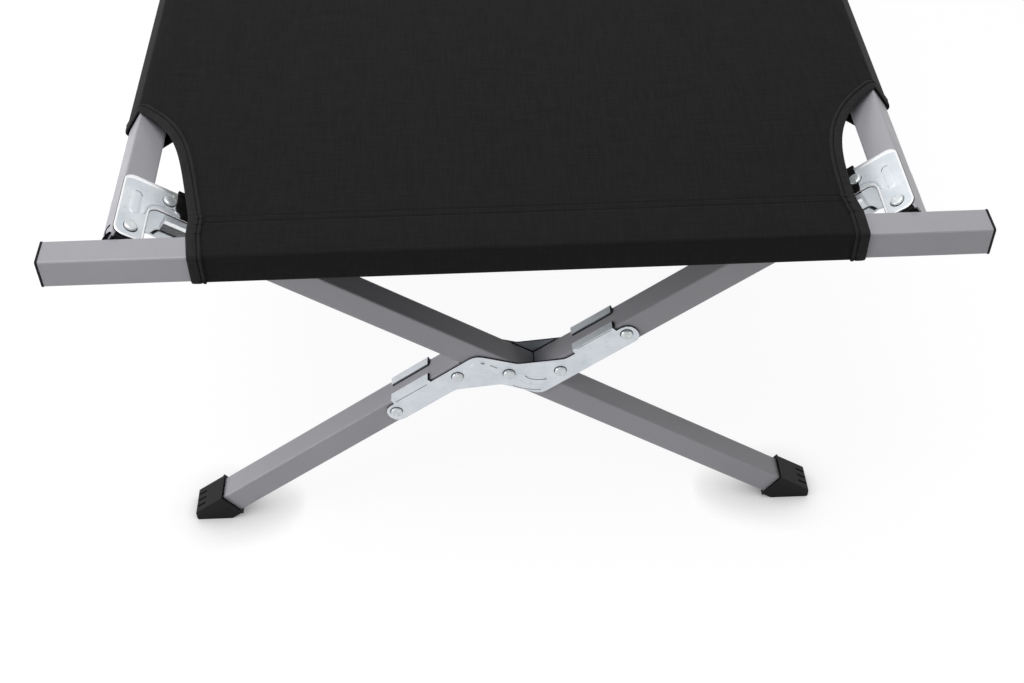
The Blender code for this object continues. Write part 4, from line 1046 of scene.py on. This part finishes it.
def tape_section(width, rise):
    """Binding folded over an edge: (sideways, outwards) points, with a dip along its stitch line."""
    fold = FOLD + 0.0004
    top = 0.00055 + rise
    low = -CLOTH_THICKNESS - 0.0005
    row = width - SEAM_INSET
    return [(width, 0.00002 + rise), (width + 0.0001, top * 0.8), (width - 0.0004, top + 0.00045),
            (width - 0.0013, top + 0.0006), (row + 0.0007, top + 0.0003), (row + 0.0003, top - 0.0005),
            (row - 0.0003, top - 0.0005), (row - 0.0008, top + 0.0002),
            (width * 0.4, top + 0.0003), (0.0010, top + 0.0002), (-fold * 0.4, top - 0.0001),
            (-fold * 0.75, (top + low) / 2), (-fold * 0.4, low + 0.0001), (0.0010, low - 0.0001),
            (width * 0.5, low - 0.0001), (width - 0.0003, low), (width, -CLOTH_THICKNESS),
            (0.0, -CLOTH_THICKNESS - 0.00002), (-fold * 0.3, (top + low) / 2), (0.0, 0.00002 + rise)]


def sewn_tape(name, path, sides, normals, width, rise, first=0):
    """A binding, and the stitches along its inner edge from the first point that shows."""
    rows = list(zip(path, sides, normals))
    rings = [[point + sideways * a + normal * b for a, b in tape_section(width, rise)]
             for point, sideways, normal in rows]
    tape = ring_object(name, [rings], TAPE_BLACK)
    line = [point + sideways * (width - SEAM_INSET) + normal * (rise + 0.0001)
            for point, sideways, normal in rows]
    return tape, stitches(name + "_stitches", line[first:], normals[first:], *BINDING_STITCH)


def corner_path(side, sign):
    """The cover's edge from under the end sleeve along the cut corner, then round the rail to its seam."""
    path = []
    normals = []
    for y in [HEM_Y + FLAP, HEM_Y + 0.0006] + spaced(HEM_Y - 0.0004, REACH + 0.004, 0.0045):
        x = SIDE[side] * sheet_edge(side, y)
        drop = FLAP_DROP if y > HEM_Y + 0.0002 else 0.0
        path.append(Vector((x, sign * y, sheet_top(x, y) - drop)))
        normals.append(Vector((0.0, 0.0, 1.0)))
    wrap = wrap_profile(side)
    for point, along in zip(wrap, directions(wrap)):
        path.append(Vector((point.x, sign * (REACH + lower_reach(point)), point.y)))
        normals.append(Vector((along.y, 0.0, -along.x)) * -SIDE[side])
    return path, normals


def corner_binding(side, end):
    path, normals = corner_path(side, ENDS[end])
    sides = [normal.cross(along).normalized() for normal, along in zip(normals, directions(path))]
    middle = len(path) // 2
    inside = Vector((0.0, ENDS[end] * REACH * 0.6, RAIL_Z))
    if (inside - path[middle]).dot(sides[middle]) < 0:
        sides = [-sideways for sideways in sides]
    return sewn_tape(f"cover_{end}_{side}_corner_binding", path, sides, normals, CORNER_TAPE, 0.0, first=2)


def sleeve_binding(side, end):
    """Binding along an end sleeve's side edge, round the bar, just outside the edge."""
    sign = ENDS[end]
    profile = end_profile()
    runs = spaced(-HEM_SEAM - 0.0015, -HALF, 0.004)
    points = [Vector((out, profile[0].y)) for out in runs] + profile[1:]
    normals = [Vector((0.0, sign * -along.y, along.x)) for along in directions(points)]
    path = [sleeve_point(sign, SIDE[side] * sleeve_edge(side, point.x, point.y > 0.0), point.x, point.y)
            for point in points]
    sides = [Vector((-SIDE[side], 0.0, 0.0))] * len(path)
    name = f"cover_{end}_{side}_sleeve_binding"
    creased = [1, 3, len(runs) - 1, len(runs) + 6]
    return (*sewn_tape(name, path, sides, normals, SLEEVE_TAPE, TAPE_RISE),
            tape_creases(name + "_creases", path, sides, normals, creased))


def tape_creases(name, path, sides, normals, rows):
    """Dark marks across a binding: thread where a seam crosses it, and painted shade in the creases where it
    bends round the bar.
    """
    forms = []
    for row in rows:
        normal = normals[row]
        along = (path[row + 1] - path[row - 1]).normalized() * 0.00045
        spots = [path[row] + sides[row] * (SLEEVE_TAPE * share) + normal * lift
                 for share, lift in ((0.32, 0.0006), (0.40, 0.0011), (0.98, 0.0015), (1.06, 0.0007))]
        forms.append([[spot - along, spot + normal * 0.00015, spot + along, spot - normal * 0.0006]
                      for spot in spots])
    return ring_object(name, forms, THREAD, 180.0)


def flat_stitches(name, places, drop, stitch):
    """A row of stitches on the sheet, through (x, y) places."""
    path = [Vector((x, y, sheet_top(x, y) - drop)) for x, y in places]
    return stitches(name, path, [Vector((0.0, 0.0, 1.0))] * len(path), *stitch)


def hem_stitches(end, row):
    """One row of the hem seam: the outer one is on the end sleeve, the inner one on the sheet."""
    y = HEM_Y + (OUTER_ROW if row == "outer" else INNER_ROW)
    inset = SLEEVE_TAPE + 0.001
    xs = spaced(-sheet_edge("left", y) + inset, sheet_edge("right", y) - inset, 0.02)
    return flat_stitches(f"cover_{end}_{row}_hem_stitches", [(x, ENDS[end] * y) for x in xs], 0.0005,
                         HEM_STITCH)


def side_stitches(side):
    """Two rows along the seam that closes a side sleeve."""
    ys = spaced(-REACH + 0.004, REACH - 0.004, 0.05)
    return [flat_stitches(f"cover_{side}_seam_stitches_{number}", [(SIDE[side] * half_width, y) for y in ys],
                          0.0001, SIDE_STITCH)
            for number, half_width in ((1, SLEEVE_SEAM_X), (2, SLEEVE_SEAM_X - SECOND_ROW))]


def bend(piece):
    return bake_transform(piece)


def bunch(piece, end):
    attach(piece, f"{end}_bar")
    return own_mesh(piece)


cover = main_cover()
on_cover = []
for seam_side in SIDE:
    on_cover += side_stitches(seam_side)
for cover_end in ENDS:
    on_cover.append(hem_stitches(cover_end, "inner"))
    for seam_side in SIDE:
        on_cover += corner_binding(seam_side, cover_end)
for piece in [cover] + on_cover:
    bend(piece)
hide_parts("cover_sheet", "cover_left_sleeve", "cover_right_sleeve")

for cover_end in ENDS:
    hem = end_cover(cover_end)
    on_hem = [hem_stitches(cover_end, "outer")]
    for seam_side in SIDE:
        on_hem += sleeve_binding(seam_side, cover_end)
    for piece in [hem] + on_hem:
        bunch(piece, cover_end)
    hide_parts(f"cover_{cover_end}_sleeve")


# Studio

CAMERA_PLACE = (-0.029635, -1.764664, 1.1137)
CAMERA_YAW = math.radians(1.65901)
CAMERA_DOWN = math.radians(44.81507)
CAMERA_ROLL = math.radians(-0.89355)
LENS = 50.0
SENSOR = 36.0
FLOOR_SIZE = 9.0
FLOOR_GLOW = 0.92  # what the camera sees of the floor, before the painted shade under the feet
FLOOR_SHADE_REACH = 0.045  # how far that painted contact shade reaches
WORLD_LIGHT = 0.27
LIT_POINT = (0.0, -0.6, 0.2)
LAMPS = (  # name, place, width of the disk and power in watts
    ("top_softbox", (-0.3, -1.0, 2.6), 2.2, 37.0),
    ("left_softbox", (-2.45, -1.55, 0.95), 1.6, 35.0),
    ("right_softbox", (2.8, -1.4, 1.2), 1.6, 4.0),
)
WHITE = (1.0, 1.0, 1.0, 1.0)
DARK_FLOOR = (0.12, 0.12, 0.12, 1.0)
PALE_FLOOR = (0.70, 0.70, 0.70, 1.0)


def aim_camera():
    flat = math.cos(CAMERA_DOWN)
    forward = Vector((math.sin(CAMERA_YAW) * flat, math.cos(CAMERA_YAW) * flat, -math.sin(CAMERA_DOWN)))
    level = Vector((math.cos(CAMERA_YAW), -math.sin(CAMERA_YAW), 0.0))
    upright = level.cross(forward)
    right = level * math.cos(CAMERA_ROLL) + upright * math.sin(CAMERA_ROLL)
    up = upright * math.cos(CAMERA_ROLL) - level * math.sin(CAMERA_ROLL)
    turn = Matrix((right, up, -forward)).transposed().to_4x4()
    data = bpy.data.cameras.new("photo_camera")
    data.lens = LENS
    data.sensor_width = SENSOR
    camera = bpy.data.objects.new("photo_camera", data)
    camera.matrix_world = Matrix.Translation(CAMERA_PLACE) @ turn
    bpy.context.scene.collection.objects.link(camera)
    bpy.context.scene.camera = camera


def area_light(name, place, size, power):
    data = bpy.data.lights.new(name, "AREA")
    data.shape = "DISK"
    data.size = size
    data.energy = power
    lamp = bpy.data.objects.new(name, data)
    lamp.location = place
    lamp.rotation_euler = (Vector(LIT_POINT) - Vector(place)).to_track_quat("-Z", "Y").to_euler()
    bpy.context.scene.collection.objects.link(lamp)


def lit_and_seen(tree, output, lighting, seen):
    """Ends a tree: one shader lights the bed, and the other is what a camera, metal or glass shows of it."""
    rays = add_node(tree, "ShaderNodeLightPath").outputs
    direct = rays["Is Camera Ray"]
    for name in ("Is Glossy Ray", "Is Transmission Ray"):
        direct = math_node(tree, "MAXIMUM", direct, rays[name])
    choice = add_node(tree, "ShaderNodeMixShader", direct, lighting.outputs[0], seen.outputs[0])
    add_node(tree, output, choice.outputs[0])


def studio_floor():
    """Pale floor that shows white to the camera and keeps a share of the bed's shadow. Near the feet its glow
    is darkened by ambient occlusion: a painted contact shadow.
    """
    bpy.ops.mesh.primitive_plane_add(size=FLOOR_SIZE, location=(0.0, 0.0, 0.0))
    floor = bpy.context.object
    floor.name = "studio_floor"
    material = bpy.data.materials.new("white_studio_floor")
    material.use_nodes = True
    tree = material.node_tree
    tree.nodes.clear()
    # Painted contact shadow: the floor's glow falls off with ambient occlusion near the feet
    painted_contact_shade = add_node(tree, "ShaderNodeAmbientOcclusion", Distance=FLOOR_SHADE_REACH).outputs["AO"]
    glow = add_node(tree, "ShaderNodeEmission", Strength=math_node(tree, "MULTIPLY", painted_contact_shade, FLOOR_GLOW))
    paint = add_node(tree, "ShaderNodeBsdfDiffuse", DARK_FLOOR)
    seen = add_node(tree, "ShaderNodeAddShader", paint.outputs[0], glow.outputs[0])
    lit_and_seen(tree, "ShaderNodeOutputMaterial", add_node(tree, "ShaderNodeBsdfDiffuse", PALE_FLOOR), seen)
    floor.data.materials.append(material)


def studio_world():
    world = bpy.data.worlds.new("studio")
    bpy.context.scene.world = world
    world.use_nodes = True
    tree = world.node_tree
    tree.nodes.clear()
    lit_and_seen(tree, "ShaderNodeOutputWorld", add_node(tree, "ShaderNodeBackground", WHITE, WORLD_LIGHT),
                 add_node(tree, "ShaderNodeBackground", WHITE, 1.0))


aim_camera()
studio_world()
studio_floor()
for lamp_row in LAMPS:
    area_light(*lamp_row)
bpy.context.scene.view_settings.view_transform = "Standard"
